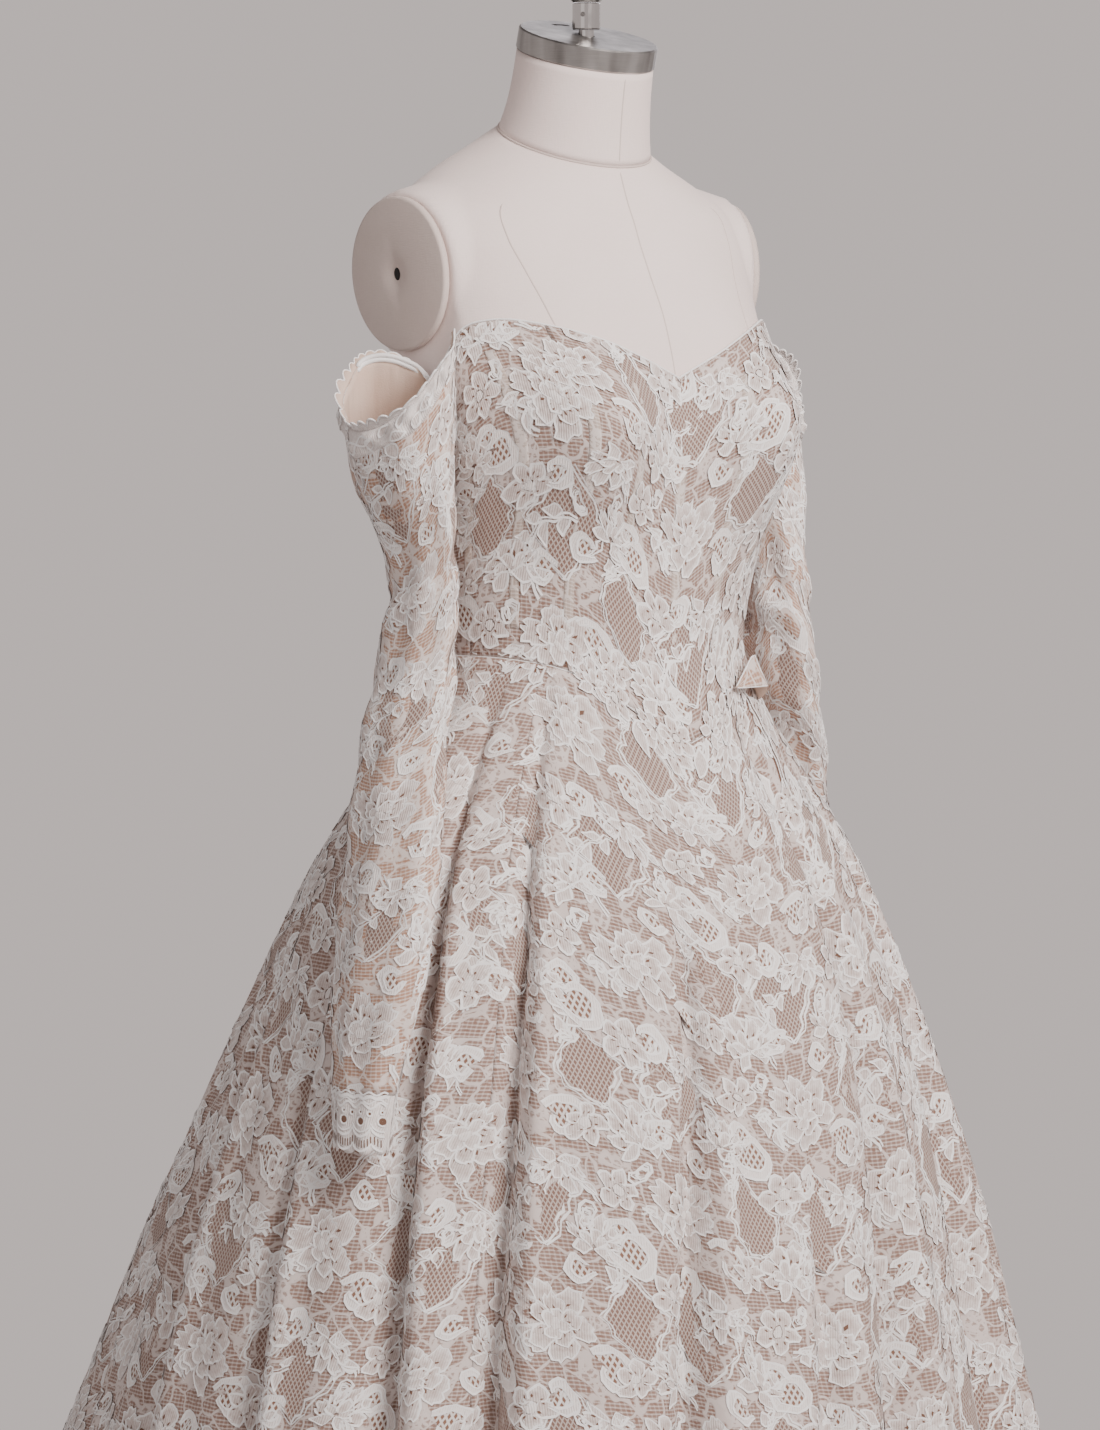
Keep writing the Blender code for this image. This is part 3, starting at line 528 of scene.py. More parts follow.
looks = {
    "ground": threadGround("lace_thread_ground", "#907366", "#dfd5d1"),
    "sleeveGround": threadGround("lace_thread_ground_sleeve", "#b08872", "#eae1dc"),
    "casing": threadGround("lace_over_boning_casing", "#b9a89d", "#e2dad5"),
    "window": netGround("lace_net_window", "#8b6f64", "#c7b9b2", 3.2, 0.60, 0.92),
    "comb": netGround("lace_open_comb", "#8a6959", "#ebe6e3", 4.4, 0.50, 0.80),
    "filled": filledLace("corded_lace_filling", "#f8f4f2", "#ad968d"),
    "cord": cordLace("corded_lace_outline", "#ffffff"),
    # lace openings, eyelets and the pleat slit: the lining's colour, darkened with painted shade
    "opening": newMaterial("lace_opening_lining", {**clothLook, "Base Color": "#75584a"})[0],
}
laceLooks = [looks[name] for name in ("filled", "cord", "window", "comb", "opening")]
filledKind, cordKind, windowKind, combKind, openingShadeKind = range(5)

# Fine nude lining, seen inside the sleeves, the skirt and the bodice
liningMaterial, tree, shader = newMaterial("nude_lining", {**clothLook, "Roughness": 0.75})
vector = objectPlace(tree)
tint(tree, shader, mottle(tree, vector, 14.0, 0.0, 1.0), "#d3b8a6", "#e3cdbf")
creases = noise(tree, vectorCalc(tree, "MULTIPLY", vector, (90, 90, 14)), 1.0, 1.5)
weave = calc(tree, "MULTIPLY", noise(tree, vector, 900.0, 2.0), 0.1)
addBump(tree, shader, calc(tree, "ADD", creases, weave), 0.004, 0.8)


# Close linen on the form: crossed fine threads and a faint slub
def linenLook(name, shade, light):
    material, tree, shader = newMaterial(name, {**clothLook, "Roughness": 0.9})
    vector = objectPlace(tree)
    stretches = [vectorCalc(tree, "MULTIPLY", vector, way) for way in ((900, 900, 140), (200, 200, 1300))]
    weave = calc(tree, "ADD", *(noise(tree, stretch, 1.0, 1.0) for stretch in stretches))
    tone = calc(tree, "ADD", calc(tree, "MULTIPLY", weave, 0.35), mottle(tree, vector, 9.0, 0.1, 0.5))
    tint(tree, shader, tone, shade, light)
    addBump(tree, shader, weave, 0.00025, 0.5)
    return material


linenMaterial = linenLook("form_linen", "#edddd8", "#faece8")
# the arm plates' linen: a darker copy of the form's linen, painted shade
shadedPlateMaterial = linenLook("form_linen_plate", "#c9bab3", "#d8cbc5")

# Brushed steel: fine scratches round the cap, and broad bright and dim bands painted into its colour as a
# reflection of the studio
steelMaterial, tree, shader = newMaterial("brushed_steel", {"Metallic": 1.0, "Roughness": 0.30})
vector = objectPlace(tree)
brush = noise(tree, vectorCalc(tree, "MULTIPLY", vector, (60, 60, 2600)), 1.0, 3.0)
bands = mottle(tree, vectorCalc(tree, "MULTIPLY", vector, (26, 26, 1.0)), 1.0, 0.0, 1.0)
tone = calc(tree, "ADD", calc(tree, "MULTIPLY", bands, 0.8), calc(tree, "MULTIPLY", brush, 0.25))
tint(tree, shader, tone, "#4d4845", "#dad8d6")
rough = calc(tree, "ADD", calc(tree, "MULTIPLY", brush, 0.18), 0.34)
tree.links.new(rough, shader.inputs["Roughness"])

# Pressed seam of the form, a shade deeper than the linen
seamMaterial = newMaterial("form_seam", {**clothLook, "Base Color": "#d3c5bf"})[0]

# Bright chrome with faint smears
chromeMaterial, tree, shader = newMaterial("polished_chrome", {"Metallic": 1.0, "Base Color": "#c9c7c6"})
smear = noise(tree, objectPlace(tree), 120.0, 3.0)
tree.links.new(calc(tree, "ADD", calc(tree, "MULTIPLY", smear, 0.16), 0.06), shader.inputs["Roughness"])

# Blackened screw head
screwLook = {"Base Color": "#1d1b1b", "Roughness": 0.42, "Metallic": 0.5}
screwMaterial = newMaterial("black_screw", screwLook)[0]

# Painted steel base: fine orange peel
paintMaterial, tree, shader = newMaterial("painted_steel", {"Base Color": "#cfcac6", "Roughness": 0.38})
addBump(tree, shader, noise(tree, objectPlace(tree), 700.0, 1.0), 0.0002, 0.25)

# Soft satin on the covered buttons
satinMaterial, tree, shader = newMaterial("button_satin", {"Roughness": 0.42, "Sheen Weight": 0.3})
tint(tree, shader, mottle(tree, objectPlace(tree), 200.0, 0.0, 1.0), "#e3dcd6", "#efeae6")
print("materials ready")


# A mesh from arrays: points, four-sided faces, a flat place for each face corner, a look for each
# face. It rides on the root and may take the place of one CAD piece.
def newMesh(name, points, quads, corners, materials, slot, replaced=None, kinds=None, dense=None):
    mesh = bpy.data.meshes.new(name)
    mesh.vertices.add(len(points))
    mesh.vertices.foreach_set("co", np.asarray(points, np.float32).ravel())
    mesh.loops.add(quads.size)
    mesh.loops.foreach_set("vertex_index", quads.astype(np.int32).ravel())
    mesh.polygons.add(len(quads))
    mesh.polygons.foreach_set("loop_start", np.arange(0, quads.size, 4, dtype=np.int32))
    if kinds is not None:
        mesh.polygons.foreach_set("material_index", kinds.astype(np.int32))
    if corners is not None:
        layer = mesh.uv_layers.new(name="flat")
        layer.data.foreach_set("uv", np.asarray(corners, np.float32).ravel())
    layer = mesh.attributes.new("dense", "FLOAT", "POINT")
    values = np.full(len(points), 0.8) if dense is None else dense
    layer.data.foreach_set("value", values.astype(np.float32))
    for material in materials:
        mesh.materials.append(material)
    mesh.update(calc_edges=True)
    mesh.shade_smooth()
    made = bpy.data.objects.new(name, mesh)
    bpy.context.scene.collection.objects.link(made)
    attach(made, "root")
    if replaced:
        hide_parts(replaced)
    return made


# Faces of a grid of points, and the place of each face's corners in the flat grid. With wrap, the
# last column meets the first.
def gridFaces(rows, columns, wrap=False):
    across = columns if wrap else columns - 1
    r, c = np.meshgrid(np.arange(rows - 1), np.arange(across), indexing="ij")
    a, b = r * columns + c, r * columns + (c + 1) % columns
    quads = np.stack([a, b, b + columns, a + columns], -1).reshape(-1, 4)
    wide = columns + 1 if wrap else columns
    a, b = r * wide + c, r * wide + c + 1
    return quads, np.stack([a, b, b + wide, a + wide], -1).reshape(-1, 4)


# A thin sheet: outer and inner grids joined round their edges, with the lining's look inside
def clothShell(name, outer, inner, flat, material, slot="lace_edging", replaced=None, wrap=False):
    rows, columns = outer.shape[:2]
    quads, places = gridFaces(rows, columns, wrap)
    count = rows * columns
    across = len(quads) // (rows - 1)
    faces = [quads, quads[:, ::-1] + count]
    spots = [places, places[:, ::-1]]
    lowEdge = (slice(0, across), [0, 0, 1, 1], (0, 1, 1, 0))
    highEdge = (slice(-across, None), [3, 2, 2, 3], (0, 0, 1, 1))
    for end, order, behind in (lowEdge, highEdge):
        faces.append(quads[end][:, order] + count * np.array(behind))
        spots.append(places[end][:, order])
    if not wrap:
        r = np.arange(rows - 1)
        for first, second, edge in ((r, r + 1, 0), (r + 1, r, columns - 1)):
            start, end = first * columns + edge, second * columns + edge
            faces.append(np.stack([start, end, end + count, start + count], -1))
            spots.append(np.stack([start, end, end, start], -1))
    kinds = np.zeros(sum(len(f) for f in faces), int)
    kinds[len(quads) : 2 * len(quads)] = 1
    corners = flat.reshape(-1, 2)[np.concatenate(spots)]
    points = np.concatenate([outer.reshape(-1, 3), inner.reshape(-1, 3)])
    materials = [material, liningMaterial]
    return newMesh(name, points, np.concatenate(faces), corners, materials, slot, replaced, kinds)


# Lays a surface out flat. `grid` holds its points, rows running upward and columns to the right as
# seen from outside. The result holds each point's flat place, with x from the middle column along the
# cloth and y up it, and a table of surface points on an even flat mesh for placing lace.
def layFlat(grid, step=0.003):
    rows, columns = grid.shape[:2]
    sideways = np.linalg.norm(np.diff(grid, axis=1), axis=2)
    x = np.concatenate([np.zeros((rows, 1)), np.cumsum(sideways, axis=1)], axis=1)
    x = x - x[:, columns // 2 : columns // 2 + 1]
    upward = np.linalg.norm(np.diff(grid, axis=0), axis=2).mean(axis=1)
    y = np.concatenate([[0], np.cumsum(upward)])
    even = np.arange(math.floor(x.min() / step), math.ceil(x.max() / step) + 1) * step
    table = np.full((rows, len(even), 3), np.nan)
    for row in range(rows):
        inside = (even >= x[row, 0]) & (even <= x[row, -1])
        for axis in range(3):
            table[row, inside, axis] = np.interp(even[inside], x[row], grid[row, :, axis])
    normal = np.cross(np.gradient(table, axis=1), np.gradient(table, axis=0))
    normal /= np.linalg.norm(normal, axis=2, keepdims=True)
    flat = np.stack([x, np.broadcast_to(y[:, None], x.shape)], -1)
    return {"flat": flat, "even": even, "step": step, "y": y, "table": table, "normal": normal}


# Points of a laid-out surface at flat places x, y and `lift` above it. Places off the cloth are nan.
def onCloth(laid, x, y, lift):
    row = np.interp(y, laid["y"], np.arange(len(laid["y"])), left=np.nan, right=np.nan)
    column = (x - laid["even"][0]) / laid["step"]
    column[(column < 0) | (column > len(laid["even"]) - 1)] = np.nan
    good = ~(np.isnan(row) | np.isnan(column))
    row, column = np.where(good, row, 0), np.where(good, column, 0)
    r = np.minimum(row.astype(int), laid["table"].shape[0] - 2)
    c = np.minimum(column.astype(int), laid["table"].shape[1] - 2)
    s, t = (row - r)[:, None], (column - c)[:, None]

    def blend(values):
        low = values[r, c] * (1 - t) + values[r, c + 1] * t
        high = values[r + 1, c] * (1 - t) + values[r + 1, c + 1] * t
        return low * (1 - s) + high * s

    points = blend(laid["table"]) + blend(laid["normal"]) * lift[:, None]
    points[~good] = np.nan
    return points


# Lace pieces are drawn flat in millimetres: points x, y, lift and density, four-sided faces and a look
# for each face
def lacePatch(x, y, lift, kind, dense=0.75):
    x, y, lift, dense = np.broadcast_arrays(x, y, lift, dense)
    quads = gridFaces(*x.shape)[0]
    points = np.stack([x, y, lift, dense], -1).reshape(-1, 4).astype(float)
    return {"points": points, "quads": quads, "kinds": np.full(len(quads), kind)}


# A cord along a path: a narrow ribbon, as wide as `width`, a little higher on one side
def laceCord(path, width=1.7, lift=0.9):
    path = np.asarray(path, float)
    along = np.gradient(path, axis=0)
    along /= np.maximum(np.linalg.norm(along, axis=1, keepdims=True), 1e-9)
    side = np.stack([along[:, 1], -along[:, 0]], -1) * width / 2
    rows = np.stack([path - side, path + side], 1)
    return lacePatch(rows[..., 0], rows[..., 1], lift + np.array([0.0, 0.5]), cordKind, 1.0)


# Several drawn pieces as one: points and faces one after another
def joinLace(pieces):
    starts = np.cumsum([0] + [len(p["points"]) for p in pieces[:-1]])
    return {
        "points": np.concatenate([p["points"] for p in pieces]),
        "quads": np.concatenate([p["quads"] + s for p, s in zip(pieces, starts)]),
        "kinds": np.concatenate([p["kinds"] for p in pieces]),
    }


# The same piece turned, sized, mirrored and moved in the flat
def placeLace(piece, x, y, turn=0, size=1.0, mirror=False, lift=0.0):
    points = piece["points"].copy()
    points[:, :2] *= size
    quads = piece["quads"]
    if mirror:
        points[:, 0] *= -1
        quads = quads[:, ::-1]
    c, s = math.cos(math.radians(turn)), math.sin(math.radians(turn))
    points[:, :2] = points[:, :2] @ np.array([[c, s], [-s, c]]) + (x, y)
    points[:, 2] += lift
    return {"points": points, "quads": quads, "kinds": piece["kinds"]}


# A small lens-shaped opening, long way along x, in the opening look: the lining's colour darkened with
# painted shade
slotAlong = np.array([[-2.3, 0.3], [-0.3, 2.3]])
laceSlot = lacePatch(slotAlong, np.array([[0.0, -1.0], [1.0, 0.0]]), 0.0, openingShadeKind)


# A round of ruffled petals: each runs out to a lobed edge, r = reach (1 - fall |p|^3)(1 + lobe |cos|),
# where p goes from -1 to 1 across the petal. Thick at the rim and the sides, sheer in the middle.
# `grain` is the number of points a lobe has: 3 on the sides of the dress that are looked at, 2 behind.
def petalRound(grain, reaches, inner, start, span, lift, lobes=3, slots=3):
    pieces = []
    width = span / len(reaches)
    for i, reach in enumerate(reaches):
        p = np.linspace(-1, 1, grain * lobes + 1)
        angle = np.radians(start + width * (i + 0.5 + 0.49 * p))
        scallop = np.abs(np.cos(np.pi * lobes * (p + 0.04 * i) / 2)) ** 0.7
        edge = reach * (1 - 0.42 * np.abs(p) ** 3) * (0.87 + 0.17 * scallop)
        fine = grain > 2 and reach > 14
        s, dense = ((0, 0.62, 1), (0.56, 0.42, 0.80)) if fine else ((0, 1), (0.50, 0.74))
        s, dense = np.array(s)[:, None], np.array(dense)[:, None] + 0.12 * p**2
        r = inner + (edge - inner) * s
        rise = lift + 0.45 * np.sin(np.pi * s) * (1 - 0.5 * p**2) + 0.06 * (i % 3)
        pieces.append(lacePatch(r * np.cos(angle), r * np.sin(angle), rise, filledKind, dense))
        rim = np.stack([edge * np.cos(angle), edge * np.sin(angle)], -1)
        foot = np.stack([np.cos(angle[[0, -1]]), np.sin(angle[[0, -1]])], -1)
        foot = foot * (inner + 0.35 * (edge[0] - inner))
        pieces.append(laceCord(np.concatenate([foot[:1], rim, foot[1:]]), 1.5, lift + 0.35))
        for offset in np.linspace(-0.55, 0.55, slots) if slots > 1 and grain > 2 else ():
            middle = math.radians(start + width * (i + 0.5 + 0.5 * offset))
            far = inner + (reach - inner) * (0.30 + 0.08 * math.cos(3 * offset + i))
            spot = (far * math.cos(middle), far * math.sin(middle))
            size = reach / 30 + 0.15
            pieces.append(placeLace(laceSlot, *spot, math.degrees(middle), size, lift=lift + 0.55))
    return pieces


# A leaf along x: two bowed edges meeting in points and an outline cord
def laceLeaf(grain, length, width, bend=0.0):
    t = np.linspace(0, 1, 2 * grain)
    bow = np.sin(np.pi * t**0.85) * width / 2 * (1 + 0.13 * np.cos(6 * np.pi * t))
    spine = bend * np.sin(np.pi * t)
    leaf = lacePatch(t * length, spine + np.array([[-1.0], [1.0]]) * bow, 0.45, filledKind, 0.58)
    low = np.stack([t * length, spine - bow], -1)
    high = np.stack([t * length, spine + bow], -1)[::-1]
    return joinLace([leaf, laceCord(np.concatenate([low, high]), 1.5, 0.7)])


# The raised heart of a flower: a shallow cone
def laceHeart(radius, rise, fall):
    turn = np.radians(np.linspace(0, 360, 7))
    s = np.array([[0.05], [1.0]])
    return lacePatch(radius * s * np.cos(turn), radius * s * np.sin(turn), rise - fall * s, filledKind, 0.9)


# A large ruffled rose: six outer petals, five middle ones, four inner ones and a raised heart
def laceRose(grain):
    pieces = petalRound(grain, (33, 29, 34, 28, 32, 30), 12, 10, 360, 0.35, 4, 3)
    pieces += petalRound(grain, (22.5, 19, 23, 20, 21), 8, 40, 360, 0.85, 3, 3)
    pieces += petalRound(grain, (12.5, 11, 13, 11.5), 4, 15, 360, 1.3, 2, 0)
    return joinLace(pieces + [laceHeart(4.6, 2.2, 0.6)])


# A fan-shaped blossom with five lobed petals over a cup of two small leaves
def laceBlossom(grain):
    pieces = petalRound(grain, (22, 25, 27, 24, 21), 9, 0, 180, 0.55, 3, 2)
    pieces += petalRound(grain, (13, 15, 13), 3, 15, 150, 1.0, 2, 0)
    pieces.append(placeLace(laceLeaf(grain, 18, 9), -1, 0, 205, lift=0.2))
    pieces.append(placeLace(laceLeaf(grain, 18, 9), 1, 0, 335, lift=0.2))
    return joinLace(pieces)


# A round five-petal flower
def laceDaisy(grain):
    pieces = petalRound(grain, (16, 14.5, 16.5, 15, 15.5), 4, 20, 360, 0.6, 2, 2)
    return joinLace(pieces + [laceHeart(3.6, 1.6, 0.4)])


# A scroll: a filled band along a spiral whose radius falls from `reach` to a third of it over `sweep`
# degrees, a cord along both edges and an open comb inside the curl
def laceScroll(grain, reach, sweep, band=5.0):
    t = np.linspace(0, 1, 5 * grain)
    angle = np.radians(-20 + sweep * t)
    radius = reach * (1 - 0.62 * t**0.9)
    centre = np.stack([0.18 * reach * t, 0.10 * reach * t], -1)
    path = centre + radius[:, None] * np.stack([np.cos(angle), np.sin(angle)], -1)
    along = np.gradient(path, axis=0)
    along /= np.linalg.norm(along, axis=1, keepdims=True)
    side = np.stack([along[:, 1], -along[:, 0]], -1)
    half = band / 2 * (0.45 + 0.55 * np.sin(np.pi * np.clip(t * 1.15, 0, 1)) ** 0.5)[:, None]
    rows = np.stack([path + side * half, path - side * half], 0)
    pieces = [lacePatch(rows[..., 0], rows[..., 1], 0.9, filledKind, 0.95)]
    pieces += [laceCord(path + side * half * way, 1.4, 1.0) for way in (-1, 1)]
    s = np.array([0.02, 1.0])[:, None, None]
    comb = centre + (path - side * half - centre) * s
    pieces.append(lacePatch(comb[::-1, :, 0], comb[::-1, :, 1], 0.30, combKind))
    return joinLace(pieces)


# A small pretzel of cord: two loops and a tail
def laceCurl(grain, size):
    t = np.linspace(0, 1, 6 * grain)
    angle = 2 * np.pi * t * 1.6
    radius = size * (0.35 + 0.65 * np.abs(np.cos(angle * 0.9)))
    path = np.stack([radius * np.cos(angle) + 6 * t, radius * np.sin(angle) * 0.8], -1)
    return joinLace([laceCord(path, 1.9, 0.9), laceCord(path * 0.72 + (1.4, 0.6), 1.1, 0.8)])


# A net window: a rounded diamond with bowed sides, edged by a wavering cord
def laceWindow(grain, half, tall):
    p = np.linspace(-1, 1, 2 * grain + 1)
    width = half * (1 - np.abs(p) ** 1.35)
    across = np.linspace(-1, 1, grain + 1)
    pieces = [lacePatch((width[:, None] * across), (tall * p)[:, None] + 0 * across, 0.5, windowKind)]
    p = np.linspace(-1, 1, 6 * grain)
    width = half * (1 - np.abs(p) ** 1.35) + 1.9 * np.sin(p * 15)
    for way in (-1, 1):
        pieces.append(laceCord(np.stack([way * width, tall * p], -1), 1.7, 0.6))
        beside = width + 3.6 + 0.8 * np.sin(p * 21)
        pieces.append(laceCord(np.stack([way * beside, tall * p], -1), 1.3, 0.6))
    return joinLace(pieces)


# A stem: a double cord along a bent path with leaves in turn on both sides
def laceStem(grain, length, bend, leaves):
    t = np.linspace(0, 1, 4 * grain)
    path = np.stack([t * length, bend * np.sin(np.pi * 1.3 * t) + 1.4 * np.sin(17 * t)], -1)
    pieces = [laceCord(path, 1.8, 0.8), laceCord(path + (0, 3.0), 1.3, 0.75)]
    for i in range(leaves):
        spot = path[1 + int(i * (4 * grain - 3) / leaves)]
        way = 1 if i % 2 else -1
        leaf = laceLeaf(grain, 13 + 2 * (i % 3), 8.0, 1.5)
        pieces.append(placeLace(leaf, spot[0], spot[1], way * (48 + 7 * (i % 2)), lift=0.1))
    return joinLace(pieces)


repeatSize = {"across": 129.0, "up": 182.0, "grow": 1.06}


# One repeat of the lace: what, x, y, turn, size, mirrored. Each piece lies a little
# higher than the one before it.
def drawRepeat(grain):
    rose, blossom, daisy, curl = laceRose(grain), laceBlossom(grain), laceDaisy(grain), laceCurl(grain, 9)
    bigScroll, smallScroll = laceScroll(grain, 20, 330, 6.0), laceScroll(grain, 12.5, 300, 4.6)
    netWindow, longStem = laceWindow(grain, 27, 37), laceStem(grain, 58, 7, 6)
    shortStem = laceStem(grain, 34, -5, 4)
    rows = (
        (netWindow, 2, 86, 0, 1.0, False),
        (netWindow, 62, 4, 8, 0.80, False),
        (longStem, -58, 62, -28, 0.9, False),
        (longStem, 8, -82, 38, 0.9, True),
        (shortStem, -28, -80, 96, 0.9, False),
        (shortStem, 44, 20, 74, 0.95, False),
        (shortStem, -44, -4, 150, 1.0, True),
        (shortStem, 30, -60, -62, 0.9, False),
        (bigScroll, -52, -32, 200, 1.0, False),
        (bigScroll, 36, -34, 300, 0.95, True),
        (smallScroll, -14, 50, 60, 1.1, False),
        (smallScroll, 24, 42, 130, 1.0, True),
        (smallScroll, -8, -50, 250, 1.15, False),
        (smallScroll, 58, 62, 20, 1.05, False),
        (curl, -38, 20, 30, 1.0, False),
        (curl, 4, -68, 140, 0.9, True),
        (curl, 40, 78, 250, 1.0, False),
        (rose, 0, 0, 0, 0.92, False),
        (blossom, -36, 46, 28, 0.98, False),
        (blossom, 40, 54, -24, 0.92, True),
        (blossom, 24, -64, 160, 0.90, False),
        (daisy, -30, -60, 0, 1.15, False),
        (daisy, 50, -36, 25, 0.95, False),
        (daisy, -56, 10, 10, 1.0, False),
    )
    whole = joinLace([placeLace(p, x, y, t, s, m, 0.03 * i) for i, (p, x, y, t, s, m) in enumerate(rows)])
    whole["points"][:, :2] *= repeatSize["grow"]
    whole["centres"] = np.array([row[1:3] for row in rows], float) * repeatSize["grow"]
    whole["owner"] = np.repeat(np.arange(len(rows)), [len(row[0]["quads"]) for row in rows])
    print("lace repeat of grain", grain, "has", 2 * len(whole["quads"]), "triangles")
    return whole


laceRepeats = {grain: drawRepeat(grain) for grain in (3, 2)}


# A panel's columns with `extra` more on each side, so that lace can reach over its seams
def widened(low, high, count, extra):
    step = (high - low) / (count - 1)
    beyond = np.arange(1, extra + 1) * step
    columns = np.concatenate([low - beyond[::-1], np.linspace(low, high, count), high + beyond])
    return columns, slice(extra, extra + count)


# Waves that pull the lace along x and along y: reach in millimetres, turn per millimetre of x and of y
pulls = (
    ((2.6, 0.05, 0.10), (1.1, -0.21, 0.37), (0.2, 0.9, 0.5)),
    ((2.6, 0.09, -0.06), (1.1, 0.33, 0.26), (0.2, -0.4, 1.1)),
)


# Lays the lace repeat over a cloth in half-drop columns, pulled a little out of true by slow and quick
# waves. A motif belongs to the panel that its centre is on and reaches over the seam whole; what falls
# off the cloth's ends is left out.
def layLace(name, laid, own, shift, lift=0.0, grain=3):
    repeat = laceRepeats[grain]
    lows, highs = laid["flat"][:, own.start, 0] * 1000, laid["flat"][:, own.stop - 1, 0] * 1000
    height = laid["y"] * 1000
    first, last = (round((edge - shift[0]) / repeatSize["across"]) for edge in (lows.min(), highs.max()))
    spots = []
    for column in range(first - 1, last + 2):
        x = shift[0] + column * repeatSize["across"]
        start = shift[1] + (column % 2) * repeatSize["up"] / 2
        top = round((height[-1] - start) / repeatSize["up"])
        below = round((height[0] - start) / repeatSize["up"])
        spots += [(x, start + row * repeatSize["up"]) for row in range(below - 1, top + 2)]
    spots = np.array(spots)
    centres = (spots[:, None] + repeat["centres"][None]).reshape(-1, 2)
    inside = (centres[:, 0] > np.interp(centres[:, 1], height, lows)) & (
        centres[:, 0] <= np.interp(centres[:, 1], height, highs)
    )
    keep = inside.reshape(len(spots), -1)[:, repeat["owner"]].ravel()
    count = len(repeat["points"])
    points = np.tile(repeat["points"], (len(spots), 1))
    points[:, :2] += np.repeat(spots, count, axis=0)
    x, y = points[:, 0].copy(), points[:, 1].copy()
    for axis, waves in enumerate(pulls):
        points[:, axis] += sum(reach * np.sin(onX * x + onY * y) for reach, onX, onY in waves)
    quads = (repeat["quads"][None] + (np.arange(len(spots)) * count)[:, None, None]).reshape(-1, 4)[keep]
    kinds = np.tile(repeat["kinds"], len(spots))[keep]
    return buildLace(name, laid, {"points": points, "quads": quads, "kinds": kinds}, lift)


# A flat drawing carried on to a laid-out cloth; faces that would leave the cloth are dropped
def buildLace(name, laid, drawn, lift=0.0):
    points, quads, kinds = drawn["points"], drawn["quads"], drawn["kinds"]
    x, y, height = points[:, 0] / 1000, points[:, 1] / 1000, points[:, 2] / 2000
    places = onCloth(laid, x, y, height + lift)
    keep = ~np.isnan(places[quads][:, :, 0]).any(axis=1)
    quads, kinds = quads[keep], kinds[keep]
    used, index = np.unique(quads, return_inverse=True)
    corners = points[:, :2][quads] / 1000
    index = index.reshape(-1, 4)
    return newMesh(name, places[used], index, corners, laceLooks, "lace_edging", None, kinds, points[used, 3])


# Skirt: five panels on the pleats and long folds, and the lace that lies on each. A panel's row is its
# name, first and last angle, the lace's shift, grain, and columns per degree.
skirt = {
    "panels": (
        ("skirt_front", -50, 50, (8, 40), 3, 1.5),
        ("skirt_side_right", -110, -50, (30, 96), 3, 1.5),
        ("skirt_side_left", 50, 110, (-24, 66), 2, 1.0),
        ("skirt_back_right", -180, -110, (12, 20), 2, 1.0),
        ("skirt_back_left", 110, 180, (-12, 20), 2, 1.0),
    ),
    "rows": 76,
    "overlap": 20,
    "gap": 0.000015,
    "reach": (0.125, 0.46),
}


# The surface of a shell's outer grid
def gridArea(grid):
    return np.linalg.norm(np.cross(np.diff(grid, axis=1)[:-1], np.diff(grid, axis=0)[:, :-1]), axis=2).sum()


# A lined panel with its lace. The grid `outer` reaches past the panel's own columns, `inner` doesn't.
def makePanel(name, outer, inner, own, shift, lift=0.0, grain=3):
    laid = layFlat(outer)
    flat = laid["flat"][:, own]
    shell = clothShell(name + "_cloth", outer[:, own], inner, flat, looks["ground"], "lined_lace", name)
    lace = layLace(name + "_lace", laid, own, shift, lift, grain)
    size = ((flat[:, -1, 0] - flat[:, 0, 0]).max(), laid["y"][-1])
    area = min(gridArea(outer[:, own]), size[0] * size[1])
    print(name, "flat", round(size[0], 3), round(size[1], 3), "lace triangles", 2 * len(lace.data.polygons))


for name, low, high, shift, grain, perDegree in skirt["panels"]:
    v = (np.linspace(1, 0, skirt["rows"] + 1) ** 1.15)[:, None]
    count, extra = (round(span * perDegree) for span in (high - low, skirt["overlap"]))
    columns, own = widened(low, high, count + 1, extra)
    gap = np.degrees(skirt["gap"] / np.interp(v, (0, 1), skirt["reach"]))
    middle = (low + high) / 2
    angle = middle + (columns - middle) * (1 - gap / ((high - low) / 2))
    inner = skirtPoint(angle[:, own], v, -cloth["thickness"])
    makePanel(name, skirtPoint(angle, v, 0.0), inner, own, shift, grain=grain)


# A round cord along 3-D points: rings of eight points in the plane across the path, with the ends
# drawn in to close them, or joined end to end
def roundCord(name, path, radius, material, closed=False, slot="lace_edging"):
    path = np.asarray(path, float)
    along = (np.roll(path, -1, 0) - np.roll(path, 1, 0)) if closed else np.gradient(path, axis=0)
    along /= np.linalg.norm(along, axis=1, keepdims=True)
    side = np.cross(along, np.array([0.02, 0.03, 1.0]))
    side /= np.maximum(np.linalg.norm(side, axis=1, keepdims=True), 1e-6)
    up = np.cross(side, along)
    turn = np.linspace(0, 2 * np.pi, 9)[:-1]
    size = np.full(len(path), radius)
    if not closed:
        size[[0, -1]] = radius * 0.05
    rings = path[:, None] + size[:, None, None] * (
        side[:, None] * np.cos(turn)[None, :, None] + up[:, None] * np.sin(turn)[None, :, None]
    )
    quads = gridFaces(len(path), 8, True)[0]
    if closed:
        here, after = np.arange(8), (np.arange(8) + 1) % 8
        last = (len(path) - 1) * 8
        quads = np.concatenate([quads, np.stack([last + here, last + after, after, here], -1)])
    far = np.cumsum(np.concatenate([[0], np.linalg.norm(np.diff(path, axis=0), axis=1)]))
    flat = np.stack(np.broadcast_arrays(turn[None, :] * radius, far[:, None]), -1).reshape(-1, 2)
    return newMesh(name, rings.reshape(-1, 3), quads, flat[quads], [material], slot)


